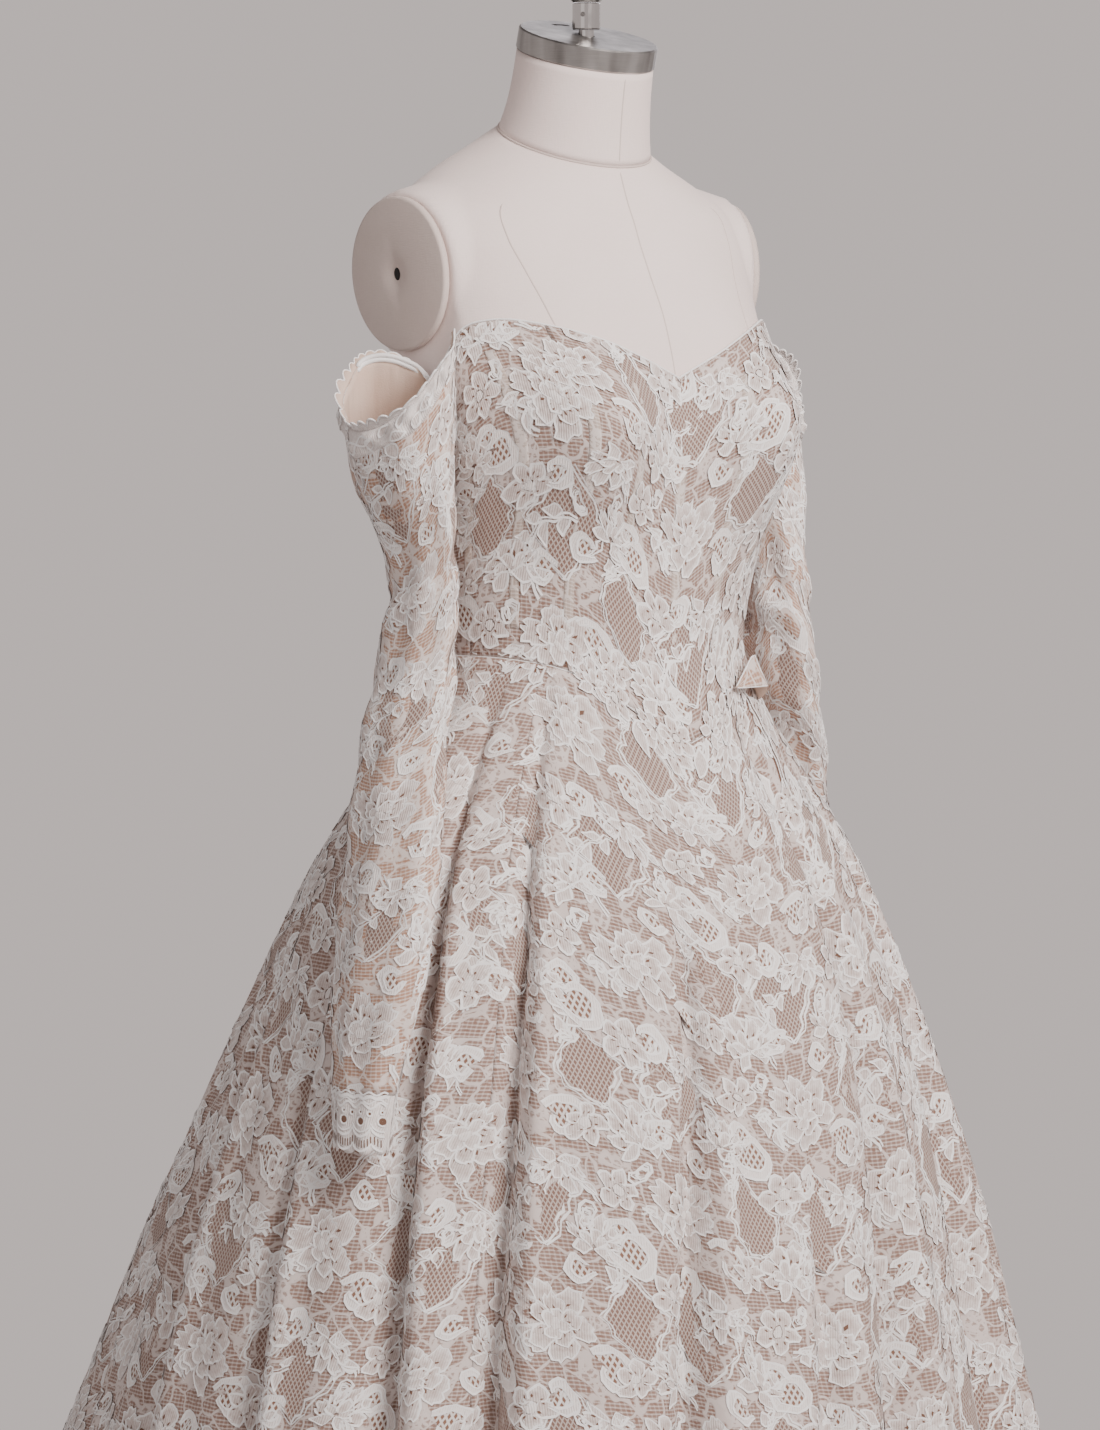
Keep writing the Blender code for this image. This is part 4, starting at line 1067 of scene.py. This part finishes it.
# Bodice: seven panels over the figure, with boning casings under the lace and a cord at each edge
bodice = {
    "panels": (
        ("bodice_front", -40, 40, (10, -30)),
        ("bodice_side_front_right", -80, -40, (36, 14)),
        ("bodice_side_front_left", 40, 80, (-30, 58)),
        ("bodice_side_back_right", -130, -80, (0, 60)),
        ("bodice_side_back_left", 80, 130, (0, 30)),
        ("bodice_back_right", -180, -130, (20, 44)),
        ("bodice_back_left", 130, 180, (-20, 44)),
    ),
    "rows": 40,
    "laceLift": 0.0005,
    "reach": 0.12,
    "overlap": 15,
}
outerEase = cloth["ease"] + cloth["cadWall"]
for name, low, high, shift in bodice["panels"]:
    t = np.linspace(0, 1, bodice["rows"] + 1)[:, None]
    gap = math.degrees(cloth["seam"] / 2 / bodice["reach"])
    columns, own = widened(low + gap, high - gap, (high - low) // 2 + 1, bodice["overlap"])
    inner = bodicePoint(columns[own], t, outerEase - cloth["thickness"])
    makePanel(name, bodicePoint(columns, t, outerEase), inner, own, shift, bodice["laceLift"])

# Boning casings: low rounded tapes that end an eleventh of the bodice off the waist and the neckline,
# the outermost two elevenths off the neckline
casing = {"angles": range(-80, 81, 20), "width": 0.0085, "rise": 0.0005, "reach": 0.135, "parts": 11}
for centre in casing["angles"]:
    word = "centre" if centre == 0 else f"{'right' if centre < 0 else 'left'}_{abs(centre)}"
    half = math.degrees(casing["width"] / 2 / casing["reach"])
    across = np.linspace(-1, 1, 7)
    start, end = 1 / casing["parts"], (casing["parts"] - (2 if abs(centre) == 80 else 1)) / casing["parts"]
    t = np.linspace(start, end, 40)[:, None]
    crown = (1 - np.abs(across) ** 3) * np.minimum(np.minimum(t - start, end - t) * 60, 1)
    outer = bodicePoint(centre + across * half, t, outerEase + 0.0001 + casing["rise"] * crown)
    inner = bodicePoint(centre + across * half, t, outerEase - 0.0002)
    flat = layFlat(outer, 0.001)["flat"]
    clothShell(f"bone_{word}_casing", outer, inner, flat, looks["casing"], "boning_casing", f"bone_{word}")

# Thin rolls along the neckline and the waist seam
turnRound = np.linspace(-180, 180, 241)[:-1]
for name, t, radius in (("neckline_roll", 1.0, 0.0009), ("waist_roll", 0.0, 0.0006)):
    path = bodicePoint(turnRound, np.full(len(turnRound), t), outerEase - 0.0004)
    roundCord(name, path, radius, looks["cord"], closed=True)

# Lace flowers that lie over the waist seam in front: places along it in millimetres, and how far they
# stand above or under it
waistRow = {"from": -92, "to": 118, "count": 12, "wander": 3.0}
band = np.linspace(-64, 64, 65)
low = skirtPoint(band, np.linspace(0.030, 0.002, 9)[:, None], 0.0008)
high = bodicePoint(band, np.linspace(0.0, 0.12, 9)[:, None], outerEase + 0.0008)
waistLaid = layFlat(np.concatenate([low, high]))
seamLine = waistLaid["y"][8] * 1000
flowers = []
for number, x in enumerate(np.linspace(waistRow["from"], waistRow["to"], waistRow["count"])):
    flower, size = ((laceBlossom(3), 0.80), (laceDaisy(3), 1.0), (laceLeaf(3, 24, 11, 2.0), 1.1))[number % 3]
    spot = (x, seamLine + waistRow["wander"] * math.sin(number * 2.2))
    flowers.append(placeLace(flower, *spot, 50 * number, size, number % 2 == 0, 0.05 * number))
buildLace("waist_lace", waistLaid, joinLace(flowers))

# Two bindings under each arm, where the sleeve joins the bodice
underarm = {"from": 78, "to": 150, "points": 50, "radius": 0.0018, "out": (0.0014, 0.0032)}
for side in (-1, 1):
    word = "right" if side < 0 else "left"
    angle = side * np.linspace(underarm["from"], underarm["to"], underarm["points"])
    for number, away in enumerate(underarm["out"]):
        path = bodicePoint(angle, np.full(len(angle), 0.995 - 0.012 * number), outerEase + away)
        roundCord(f"underarm_binding_{word}_{number + 1}", path, underarm["radius"], looks["cord"])
print("bodice ready")


# Lays out a ring of columns, with its first column added again at the end
def closedFlat(grid):
    return layFlat(np.concatenate([grid, grid[:, :1]], 1), 0.001)


# Sleeves: one tube each, open at the mouth, with lace all round
sleeve = {"columns": 96, "rows": 62, "cuffTop": 0.750, "shift": {-1: (14, 52), 1: (-30, 20)}}
# the mouth's edge in metres: petals, the rolls inside it and the soft band under it
petal = {"columns": 288, "foot": 0.0020, "lobe": 0.0056, "flare": 0.0060, "thick": 0.0006, "cord": 0.0007}
roll = {"from": 175, "to": 268, "in": 0.0014, "radius": 0.0018, "step": 0.0036}
softBand = {"tall": 0.019, "uneven": 0.003, "puff": 0.0026, "thick": 0.0008, "petals": 36}
for side, word in ((-1, "right"), (1, "left")):
    angle = np.linspace(-90, 270, sleeve["columns"] + 1)
    angle = angle[::-1] if side < 0 else angle
    t = np.linspace(0, 1, sleeve["rows"] + 1)[:, None]
    height = sleeve["cuffTop"] + (mouthHeight(angle) - sleeve["cuffTop"]) * t
    outer = sleevePoint(side, angle, height, 0.0)
    inner = sleevePoint(side, angle, height, -cloth["thickness"])
    laid = layFlat(outer)
    cut = (outer[:, :-1], inner[:, :-1], laid["flat"], looks["sleeveGround"])
    shell = clothShell(f"sleeve_{word}_cloth", *cut, "lined_lace", f"sleeve_{word}", wrap=True)
    lace = layLace(f"sleeve_{word}_lace", laid, slice(0, len(angle)), sleeve["shift"][side])

    # petal edge: a row of lobed petals standing and leaning out from the mouth, over a soft rolled band
    ring = np.linspace(-90, 270, petal["columns"] + 1)[:-1]
    ring = ring[::-1] if side < 0 else ring
    foot = sleevePoint(side, ring, mouthHeight(ring), 0.0)
    out = sleevePoint(side, ring, mouthHeight(ring), 0.004) - foot
    out /= np.maximum(np.linalg.norm(out, axis=1, keepdims=True), 1e-6)
    turn = np.radians(ring)
    lobe = np.abs(np.sin(turn * 16.5 + 0.9 * np.sin(turn * 4))) ** 0.6
    lobe = lobe * (0.72 + 0.28 * np.sin(turn * 5 + 1.0))
    outside = ramp(np.sin(turn), -0.80, -0.05)
    tall = (petal["foot"] + petal["lobe"] * lobe) * (0.35 + 0.65 * outside)
    s = np.linspace(0, 1, 4)[:, None]
    flare = (0.0012 + petal["flare"] * lobe * outside) * s**1.6
    petals = foot[None] + out[None] * flare[..., None] + np.array([0, 0, 1]) * (tall * s)[..., None]
    flat = closedFlat(petals)["flat"]
    cut = (petals, petals - out[None] * petal["thick"], flat, looks["filled"])
    clothShell(f"sleeve_{word}_petal_edge", *cut, replaced=f"sleeve_edge_{word}", wrap=True)
    rim = roundCord(f"sleeve_{word}_petal_cord", petals[-1], petal["cord"], looks["cord"], closed=True)
    behind = (ring > roll["from"]) & (ring < roll["to"])
    hidden = foot[behind] - out[behind] * roll["in"]
    rolls = []
    for number in range(2):
        path = hidden - (0, 0, roll["step"] * number)
        rolls.append(roundCord(f"sleeve_{word}_mouth_roll_{number + 1}", path, roll["radius"], looks["cord"]))
    s = np.linspace(0, 1, 8)[:, None]
    bandTall = softBand["tall"] + softBand["uneven"] * np.sin(turn * 4)
    twist = turn * 11 + 2 * np.sin(turn * 2)
    folds = 0.0020 * np.sin(twist + s * 6) + 0.0011 * np.sin(twist * 1.9 - s * 5)
    swell = (0.0006 + (softBand["puff"] + folds) * np.sin(np.pi * s) ** 0.6) * (0.25 + 0.75 * outside)
    folded = sleevePoint(side, ring, mouthHeight(ring) - bandTall * (1 - s), 0.0) + out * swell[..., None]
    bandLaid = closedFlat(folded)
    cut = (folded, folded - out * softBand["thick"], bandLaid["flat"], looks["filled"])
    band = clothShell(f"sleeve_{word}_rolled_band", *cut, wrap=True)

    # petals that lie along the band's lower edge
    spots = np.linspace(bandLaid["even"][0], bandLaid["even"][-1], softBand["petals"] + 1)[:-1] * 1000
    pieces = []
    for i, spot in enumerate(spots):
        leaf = laceLeaf(3, 11 + 2 * (i % 3), 7.5, 1.5)
        pieces.append(placeLace(leaf, spot, 3 + 7 * (i % 2), 62 - 28 * (i % 3), lift=0.03 * i))
    bandLace = buildLace(f"sleeve_{word}_band_lace", bandLaid, joinLace(pieces))
    size = (laid["even"][-1] - laid["even"][0], laid["y"][-1])
    area = min(gridArea(outer), size[0] * size[1])
    pieces = [lace, rim, band, bandLace] + rolls
print("sleeves ready")


# Cuffs: a scalloped end with eyelets, comb bars and a second, shorter row of scallops over it
cuff = {"height": 0.045, "scallop": 0.0065, "count": 11, "columns": 176}
# cords in millimetres: height, how far they rise between the humps, power, width, lift
cuff["humps"] = ((6.5, 5.5, 0.7, 1.7, 0.5), (19.0, 7.0, 0.6, 2.0, 0.9), (22.0, 6.5, 0.6, 1.2, 0.8))
# wavy cords: height, reach, turn per millimetre, start, width, lift
cuff["waves"] = (
    (35.5, 2.2, 0.42, 0.0, 1.8, 0.8),
    (38.6, 1.8, 0.42, 0.7, 1.2, 0.7),
    (41.6, 0.9, 0.55, 0.0, 2.6, 0.8),
    (44.6, 1.2, 0.55, 0.5, 1.4, 0.7),
)
# eyelets in each hump: across, height, radius
cuff["eyelets"] = ((0, 23.5, 3.1), (-9.4, 29.5, 1.4), (0, 30.5, 1.1))
for side, word in ((-1, "right"), (1, "left")):
    for half, low, high in (("outer", 0, 180), ("inner", 180, 360)):
        angle = np.linspace(low + 0.3, high - 0.3, cuff["columns"] // 2 + 1)
        angle = angle[::-1] if side < 0 else angle
        wave = np.abs(np.sin(np.radians(angle) * cuff["count"] / 2)) ** 0.6
        s = np.linspace(0, 1, 13)[:, None]
        bottom = sleeve["cuffTop"] - cuff["height"]
        foot = bottom + 0.002 + cuff["scallop"] * (1 - wave)
        height = foot + (sleeve["cuffTop"] - 0.0003 - foot) * s
        outer = sleevePoint(side, angle, height, 0.0)
        inner = sleevePoint(side, angle, height, -0.0010)
        laid = layFlat(outer, 0.001)
        cut = (outer, inner, laid["flat"], looks["filled"])
        shell = clothShell(f"cuff_{word}_{half}_lace", *cut, replaced=f"cuff_{word}_{half}")

        flatHeight = bottom + 0.004 + (cuff["height"] + 0.004) * np.linspace(0, 1, 14)[:, None]
        even = layFlat(sleevePoint(side, angle, flatHeight, 0.0), 0.001)
        start, end = even["even"][[0, -1]] * 1000
        count = round((end - start) / 19)
        x = np.linspace(start + 0.6, end - 0.6, count * 12 + 1)
        hump = np.abs(np.sin(np.pi * (x - x[0]) / (x[-1] - x[0]) * count))
        pieces = []
        for up, rise, power, *cord in cuff["humps"]:
            pieces.append(laceCord(np.stack([x, up - rise * hump**power], -1), *cord))
        for up, reach, turn, first, *cord in cuff["waves"]:
            pieces.append(laceCord(np.stack([x, up + reach * np.sin(x * turn + first)], -1), *cord))
        turn = np.radians(np.linspace(0, 360, 13))
        disc = np.array([[0.04], [1.0]])
        # each eyelet's hole and the gaps between the comb bars are patches in the opening look, the lining's
        # colour darkened with painted shade
        for spot in x[0] + (np.arange(count) + 0.5) * (x[-1] - x[0]) / count:
            for across, up, radius in cuff["eyelets"]:
                hole = (spot + across + radius * disc * np.cos(turn), up + radius * disc * np.sin(turn))
                wide = radius + 0.4
                rim = np.stack([spot + across + wide * np.cos(turn), up + wide * np.sin(turn)], -1)
                pieces += [lacePatch(*hole, 0.50, openingShadeKind), laceCord(rim, 1.3, 0.8)]
            for bar in (-7.2, -4.8, -2.4, 0.0, 2.4, 4.8, 7.2):
                tall = np.array([[3.4 + 0.05 * bar**2], [9.0 + 0.06 * bar**2]])
                wide = spot + bar + 1.2 + np.array([[-0.45, 0.45]])
                pieces.append(lacePatch(wide, tall, 0.45, openingShadeKind))
        lace = buildLace(f"cuff_{word}_{half}_trim", even, joinLace(pieces))
        size = (laid["even"][-1] - laid["even"][0], laid["y"][-1] + 0.002)
        area = min(gridArea(outer), size[0] * size[1])
        above = f"sleeve_{word}_cloth"
print("cuffs ready")

# Standing tip of the waist pleat: a small folded triangle that leans off the waist, nude inside and
# pale along its edges. `reach` is how far each end stands off the figure.
pleatTip = {"angles": (23.5, 38.5), "apex": 36.6, "base": 1.0375, "top": 1.0615, "reach": (0.0080, 0.0185)}
angle = np.linspace(*pleatTip["angles"], 17)
s = np.linspace(0, 1, 9)[:, None]
corners = (pleatTip["angles"][0], pleatTip["apex"] - 2.0, pleatTip["apex"], pleatTip["angles"][1])
share = np.interp(angle, corners, (0.04, 0.93, 1.0, 0.08))
tall = (pleatTip["top"] - pleatTip["base"]) * share * s
stand = np.interp(angle, pleatTip["angles"], pleatTip["reach"]) - 0.10 * tall
outer = figure(angle, pleatTip["base"] + tall, outerEase + stand)
inner = figure(angle, pleatTip["base"] + tall, outerEase + stand - 0.0008)
tipLaid = layFlat(outer, 0.001)
tipArea = gridArea(outer)
cut = (outer, inner, tipLaid["flat"], looks["sleeveGround"])
tip = clothShell("pleat_tip_left_cloth", *cut, "lined_lace", "pleat_tip_left")
pleatPieces = [roundCord("pleat_tip_edge", outer[-1], 0.0006, looks["cord"])]
pleatPieces.append(roundCord("pleat_tip_foot", outer[0], 0.0005, looks["cord"]))

# the folded-over side of the tip, which runs from its right edge down to the skirt
edge = outer[-1, np.searchsorted(angle, pleatTip["apex"]) :]
landing = skirtPoint(np.linspace(41, 45, len(edge)), np.linspace(0.004, 0.030, len(edge)), 0.0012)
ways = np.linspace(0, 1, 9)[None, :, None]
side = edge[:, None] * (1 - ways) + landing[:, None] * ways
bulge = 0.0035 * np.sin(np.pi * ways)
side = side + side * (1, 1, 0) / np.linalg.norm(side[..., :2], axis=2, keepdims=True) * bulge
side = side[::-1]
inner = side * (0.9945, 0.9945, 1)
fold = clothShell("pleat_tip_fold", side, inner, layFlat(side, 0.001)["flat"], looks["sleeveGround"])
pleatPieces += [fold, roundCord("pleat_tip_fold_edge", side[-1], 0.0009, looks["cord"])]

# under it a ribbon in the opening look, painted dark as the shade in the slit, and beside that the stacked
# edges of the pleat's layers
slit = {"v": (0.0, 0.008, 0.0215, 0.0355, 0.049, 0.062, 0.080)}
slit["angles"] = (28.8, 30.1, 32.2, 32.8, 32.6, 31.0, 26.5)
v = np.linspace(0.004, 0.078, 50)
line = np.interp(v, slit["v"], slit["angles"]) + 0.25 * np.sin(v * 420)
taper = np.sin(np.pi * np.linspace(0.02, 0.98, len(v))) ** 0.5


# A ribbon laid on the skirt beside the slit: from `near` to `far` degrees off it, at the two lifts
def slitRibbon(name, near, far, lifts, look):
    ways = np.linspace(0, 1, 4)[None]
    angle = line[:, None] + taper[:, None] * (near + (far - near) * ways)
    lift = lifts[0] + (lifts[1] - lifts[0]) * ways
    outer = skirtPoint(angle, v[:, None], lift)[::-1]
    inner = skirtPoint(angle, v[:, None], lift - 0.0004)[::-1]
    return clothShell(name, outer, inner, layFlat(outer, 0.001)["flat"], look), outer


pleatPieces.append(slitRibbon("pleat_slit", -0.4, 0.8, (0.0005, 0.0005), looks["opening"])[0])
for number in range(2):
    near = 0.6 + 1.5 * number
    lifts = (0.0014 + 0.0009 * number, 0.0005 + 0.0009 * number)
    layer, outer = slitRibbon(f"pleat_layer_{number + 1}", near, near + 1.7, lifts, looks["casing"])
    pleatPieces.append(layer)
    pleatPieces.append(roundCord(f"pleat_layer_edge_{number + 1}", outer[:, 0], 0.0005, looks["cord"]))
size = (tipLaid["flat"][0, -1, 0] - tipLaid["flat"][0, 0, 0], pleatTip["top"] - pleatTip["base"])
print("pleat tip ready")


# A solid turned round an axis from (radius, height) pairs, with closed ends, stretched and placed
def turnedSolid(name, profile, material, place, slot, replaced, columns, stretch=(1, 1), press=None):
    profile = np.array([(1e-5, profile[0][1])] + list(profile) + [(1e-5, profile[-1][1])])
    turn = np.arange(columns) * 2 * np.pi / columns
    x = profile[:, :1] * np.cos(turn) * stretch[0]
    y = profile[:, :1] * np.sin(turn) * stretch[1]
    z = profile[:, 1:] + 0 * x
    if press:
        z = z - press(x, y) * ramp(z, 0.0036, 0.0055)
    points = stack(x, y, z).reshape(-1, 3)
    matrix = np.array(place)
    points = points @ matrix[:3, :3].T + matrix[:3, 3]
    quads = gridFaces(len(profile), columns, True)[0]
    newMesh(name, points, quads, None, [material], slot, replaced)


# Covered buttons down the centre back, each in a small cord loop
button = {"radius": 0.0055, "count": 8, "cord": 0.0006}
for number, t in enumerate(np.linspace(0.06, 0.97, button["count"])):
    spot = Vector(bodicePoint(np.array(180.0), t, outerEase + 0.0003))
    above = Vector(bodicePoint(np.array(180.0), t + 0.02, outerEase + 0.0003))
    out = (above - spot).cross(Vector((1, 0, 0))).normalized()
    out = -out if out.y < 0 else out
    place = Matrix.Translation(spot) @ out.to_track_quat("Z", "Y").to_matrix().to_4x4()
    bend = np.radians(np.linspace(0, 84, 8))
    dome = [(button["radius"] * math.cos(b), 0.0008 + 0.0034 * math.sin(b)) for b in bend]
    shape = ([(button["radius"] * 0.9, 0.0)] + dome, satinMaterial, place)
    turnedSolid(f"covered_button_{number + 1}", *shape, "covered_buttons", f"button_{number + 1}", 28)
    turn = np.radians(np.linspace(0, 360, 25)[:-1])
    reach = button["radius"] + button["cord"]
    ring = stack(reach * np.cos(turn), reach * np.sin(turn), 0.0008)
    matrix = np.array(place)
    loop = ring @ matrix[:3, :3].T + matrix[:3, 3]
    roundCord(f"button_loop_{number + 1}", loop, button["cord"], looks["cord"], closed=True)

# Dress form: smooth linen torso and neck with pressed seam lines
seamRows = {
    "centre_front": rowsOf(("height", "angle"), (1.15, 0), (1.30, 0), (1.457, 0)),
    "centre_back": rowsOf(("height", "angle"), (1.15, 180), (1.30, 180), (1.457, 180)),
    "princess": rowsOf(
        ("height", "angle"), (1.20, 35.5), (1.318, 36.5), (1.345, 38), (1.375, 41.5), (1.400, 46), (1.422, 52)
    ),
    "back": rowsOf(("height", "angle"), (1.20, 150), (1.330, 146), (1.390, 138), (1.440, 122)),
}
for name, rows in seamRows.items():
    for side, word in ((-1, "_right"), (1, "_left")) if name in ("princess", "back") else ((1, ""),):
        height = np.linspace(rows["height"][-1], rows["height"][0], 60)
        path = figure(side * readRows(rows, "angle", "height", height), height, -0.00055, onForm=True)
        roundCord(f"form_seam_{name}{word}", path, 0.0008, seamMaterial, slot="form_linen")


# A solid of linen from rings of points, with its two ends drawn in by the given shares of the end rings
def ringSolid(name, body, shares, replaced):
    first, last = (end.mean(axis=1, keepdims=True) for end in (body[:1], body[-1:]))
    low = [first + (body[:1] - first) * share for share in shares]
    high = [last + (body[-1:] - last) * share for share in shares[::-1]]
    rings = np.concatenate(low + [body] + high)
    quads = gridFaces(len(rings), body.shape[1], True)[0]
    newMesh(name, rings.reshape(-1, 3), quads, None, [linenMaterial], "form_linen", replaced)


angle = np.linspace(-180, 180, 241)[:-1]
height = np.concatenate([np.linspace(0.80, 1.24, 14)[:-1], np.linspace(1.24, 1.458, 62)])[:, None]
ringSolid("torso_linen", figure(angle, height, 0.0, onForm=True), (0.001, 0.5, 0.94), "form_torso")

height = np.linspace(1.4583, 1.5225, 13)[:, None]
angle = np.linspace(-180, 180, 145)[:-1]
radius, tilt, middle = readMany(neckRows, ("half", "tilt", "middle"), height)
tilt = np.radians(tilt)
x, y = radius * np.sin(np.radians(angle)), -radius * np.cos(np.radians(angle))
neck = stack(x, middle + y * np.cos(tilt), height + y * np.sin(tilt))
ringSolid("neck_linen", neck, (0.001, 0.97), "form_neck")
path = neck[0] + (neck[0] - neck[0].mean(axis=0)) * 0.002
roundCord("neck_seam", path, 0.0009, seamMaterial, closed=True, slot="form_linen")
roundCord("neck_front_seam", neck[::-1, 72] + (0, 0.0005, 0), 0.0008, seamMaterial, slot="form_linen")


# Arm plates: padded ovals, domed, with a soft dimple round the screw and an upright pinch through it
def pinch(x, y):
    return 0.0007 * np.exp(-((x / 0.0050) ** 2)) * np.exp(-((y / 0.022) ** 2))


for side, word in ((-1, "right"), (1, "left")):
    centre, forward, up, out = plateFrame(side)
    place = np.eye(4)
    place[:3, 0], place[:3, 1], place[:3, 2] = forward, up, out
    if np.linalg.det(place[:3, :3]) < 0:
        place[:3, 0] = -forward
    place[:3, 3] = centre - out * plate["thick"]
    f = np.linspace(0.04, 1, 32)[::-1]
    face = (0.74 + 0.46 * (1 - f**2.6) - 0.42 * np.exp(-((f / 0.17) ** 2))) * plate["thick"]
    profile = [(0.972, 0.0), (0.994, 0.0008), (1.0, 0.0026), (0.998, 0.0042)] + list(zip(f * 0.988, face))
    size = (plate["along"], plate["tall"])
    shape = (profile, shadedPlateMaterial, place, "form_linen", f"form_plate_{word}")
    turnedSolid(f"arm_plate_{word}", *shape, 96, size, pinch)
    height = profile[-1][1] - 0.0011
    outline = ((0.0042, -0.0004), (0.0044, 0.0006), (0.0038, 0.0013), (0.0012, 0.0009))
    screw = [(radius, height + rise) for radius, rise in outline]
    shape = (screw, screwMaterial, place, "black_screw", f"form_screw_{word}")
    turnedSolid(f"plate_screw_{word}", *shape, 32, (0.82, 1.2))

for name, material in (
    ("form_cap", steelMaterial),
    ("form_stud", chromeMaterial),
    ("form_collar", chromeMaterial),
    ("form_knob", chromeMaterial),
    ("stand_base", paintMaterial),
    ("stand_pole", steelMaterial),
):
    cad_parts[name].material_slots[0].material = material
print("dress form ready")

# Camera: at the photo's angle and distance, looking at the dress from its wearer's front right
view = {"azimuth": -37.0, "elevation": 3.6, "distance": 4.5, "across": -0.0281, "up": 1.013, "tall": 1.1154}
turn, rise = math.radians(view["azimuth"]), math.radians(view["elevation"])
target = Vector((math.cos(turn) * view["across"], math.sin(turn) * view["across"], view["up"]))
back = Vector((math.sin(turn) * math.cos(rise), -math.cos(turn) * math.cos(rise), math.sin(rise)))
lens = bpy.data.cameras.new("camera")
lens.sensor_fit = "VERTICAL"
lens.sensor_height = 36
lens.lens = 36 * view["distance"] / view["tall"]
camera = bpy.data.objects.new("camera", lens)
camera.location = target + back * view["distance"]
camera.rotation_euler = back.to_track_quat("Z", "Y").to_euler()
bpy.context.scene.collection.objects.link(camera)
bpy.context.scene.camera = camera


# A large soft light that faces a point of the dress
def softLight(name, place, size, power, colour, aim=0.95, spread=180):
    data = bpy.data.lights.new(name, "AREA")
    data.shape = "RECTANGLE"
    data.size, data.size_y = size
    data.energy = power
    data.color = hexColour(colour)[:3]
    data.spread = math.radians(spread)
    made = bpy.data.objects.new(name, data)
    made.location = place
    made.rotation_euler = (Vector(place) - Vector((0, 0, aim))).to_track_quat("Z", "Y").to_euler()
    bpy.context.scene.collection.objects.link(made)


softLight("key", (0.0, -2.9, 2.9), (1.5, 1.5), 56, "#fff5f0", 1.30, 100)
softLight("fill", (-3.6, -1.6, 1.6), (2.6, 3.0), 8, "#fff9f6")
softLight("rim", (2.8, 2.4, 2.4), (2.0, 2.4), 34, "#fbf7ff")
# Studio surroundings, brightest round the horizon and darker overhead
world = bpy.data.worlds.new("studio")
world.use_nodes = True
tree = world.node_tree
facing = addNode(tree, "ShaderNodeTexCoord").outputs["Generated"]
rise = calc(tree, "ABSOLUTE", addNode(tree, "ShaderNodeSeparateXYZ", {0: facing}).outputs[2])
level = remap(tree, rise, 0.2, 0.6, 1.2, 0.35)
tree.nodes["Background"].inputs["Color"].default_value = hexColour("#c2b8b5")
tree.links.new(level, tree.nodes["Background"].inputs["Strength"])
bpy.context.scene.world = world

# Plain pale floor
reach = 1.8
floorMesh = bpy.data.meshes.new("studio_floor")
corners = [(-reach, -reach, 0), (reach, -reach, 0), (reach, reach, 0), (-reach, reach, 0)]
floorMesh.from_pydata(corners, [], [(0, 1, 2, 3)])
floor = bpy.data.objects.new("studio_floor", floorMesh)
floorMesh.materials.append(newMaterial("studio_floor", {"Base Color": "#c9c3c1", "Roughness": 0.9})[0])
bpy.context.scene.collection.objects.link(floor)
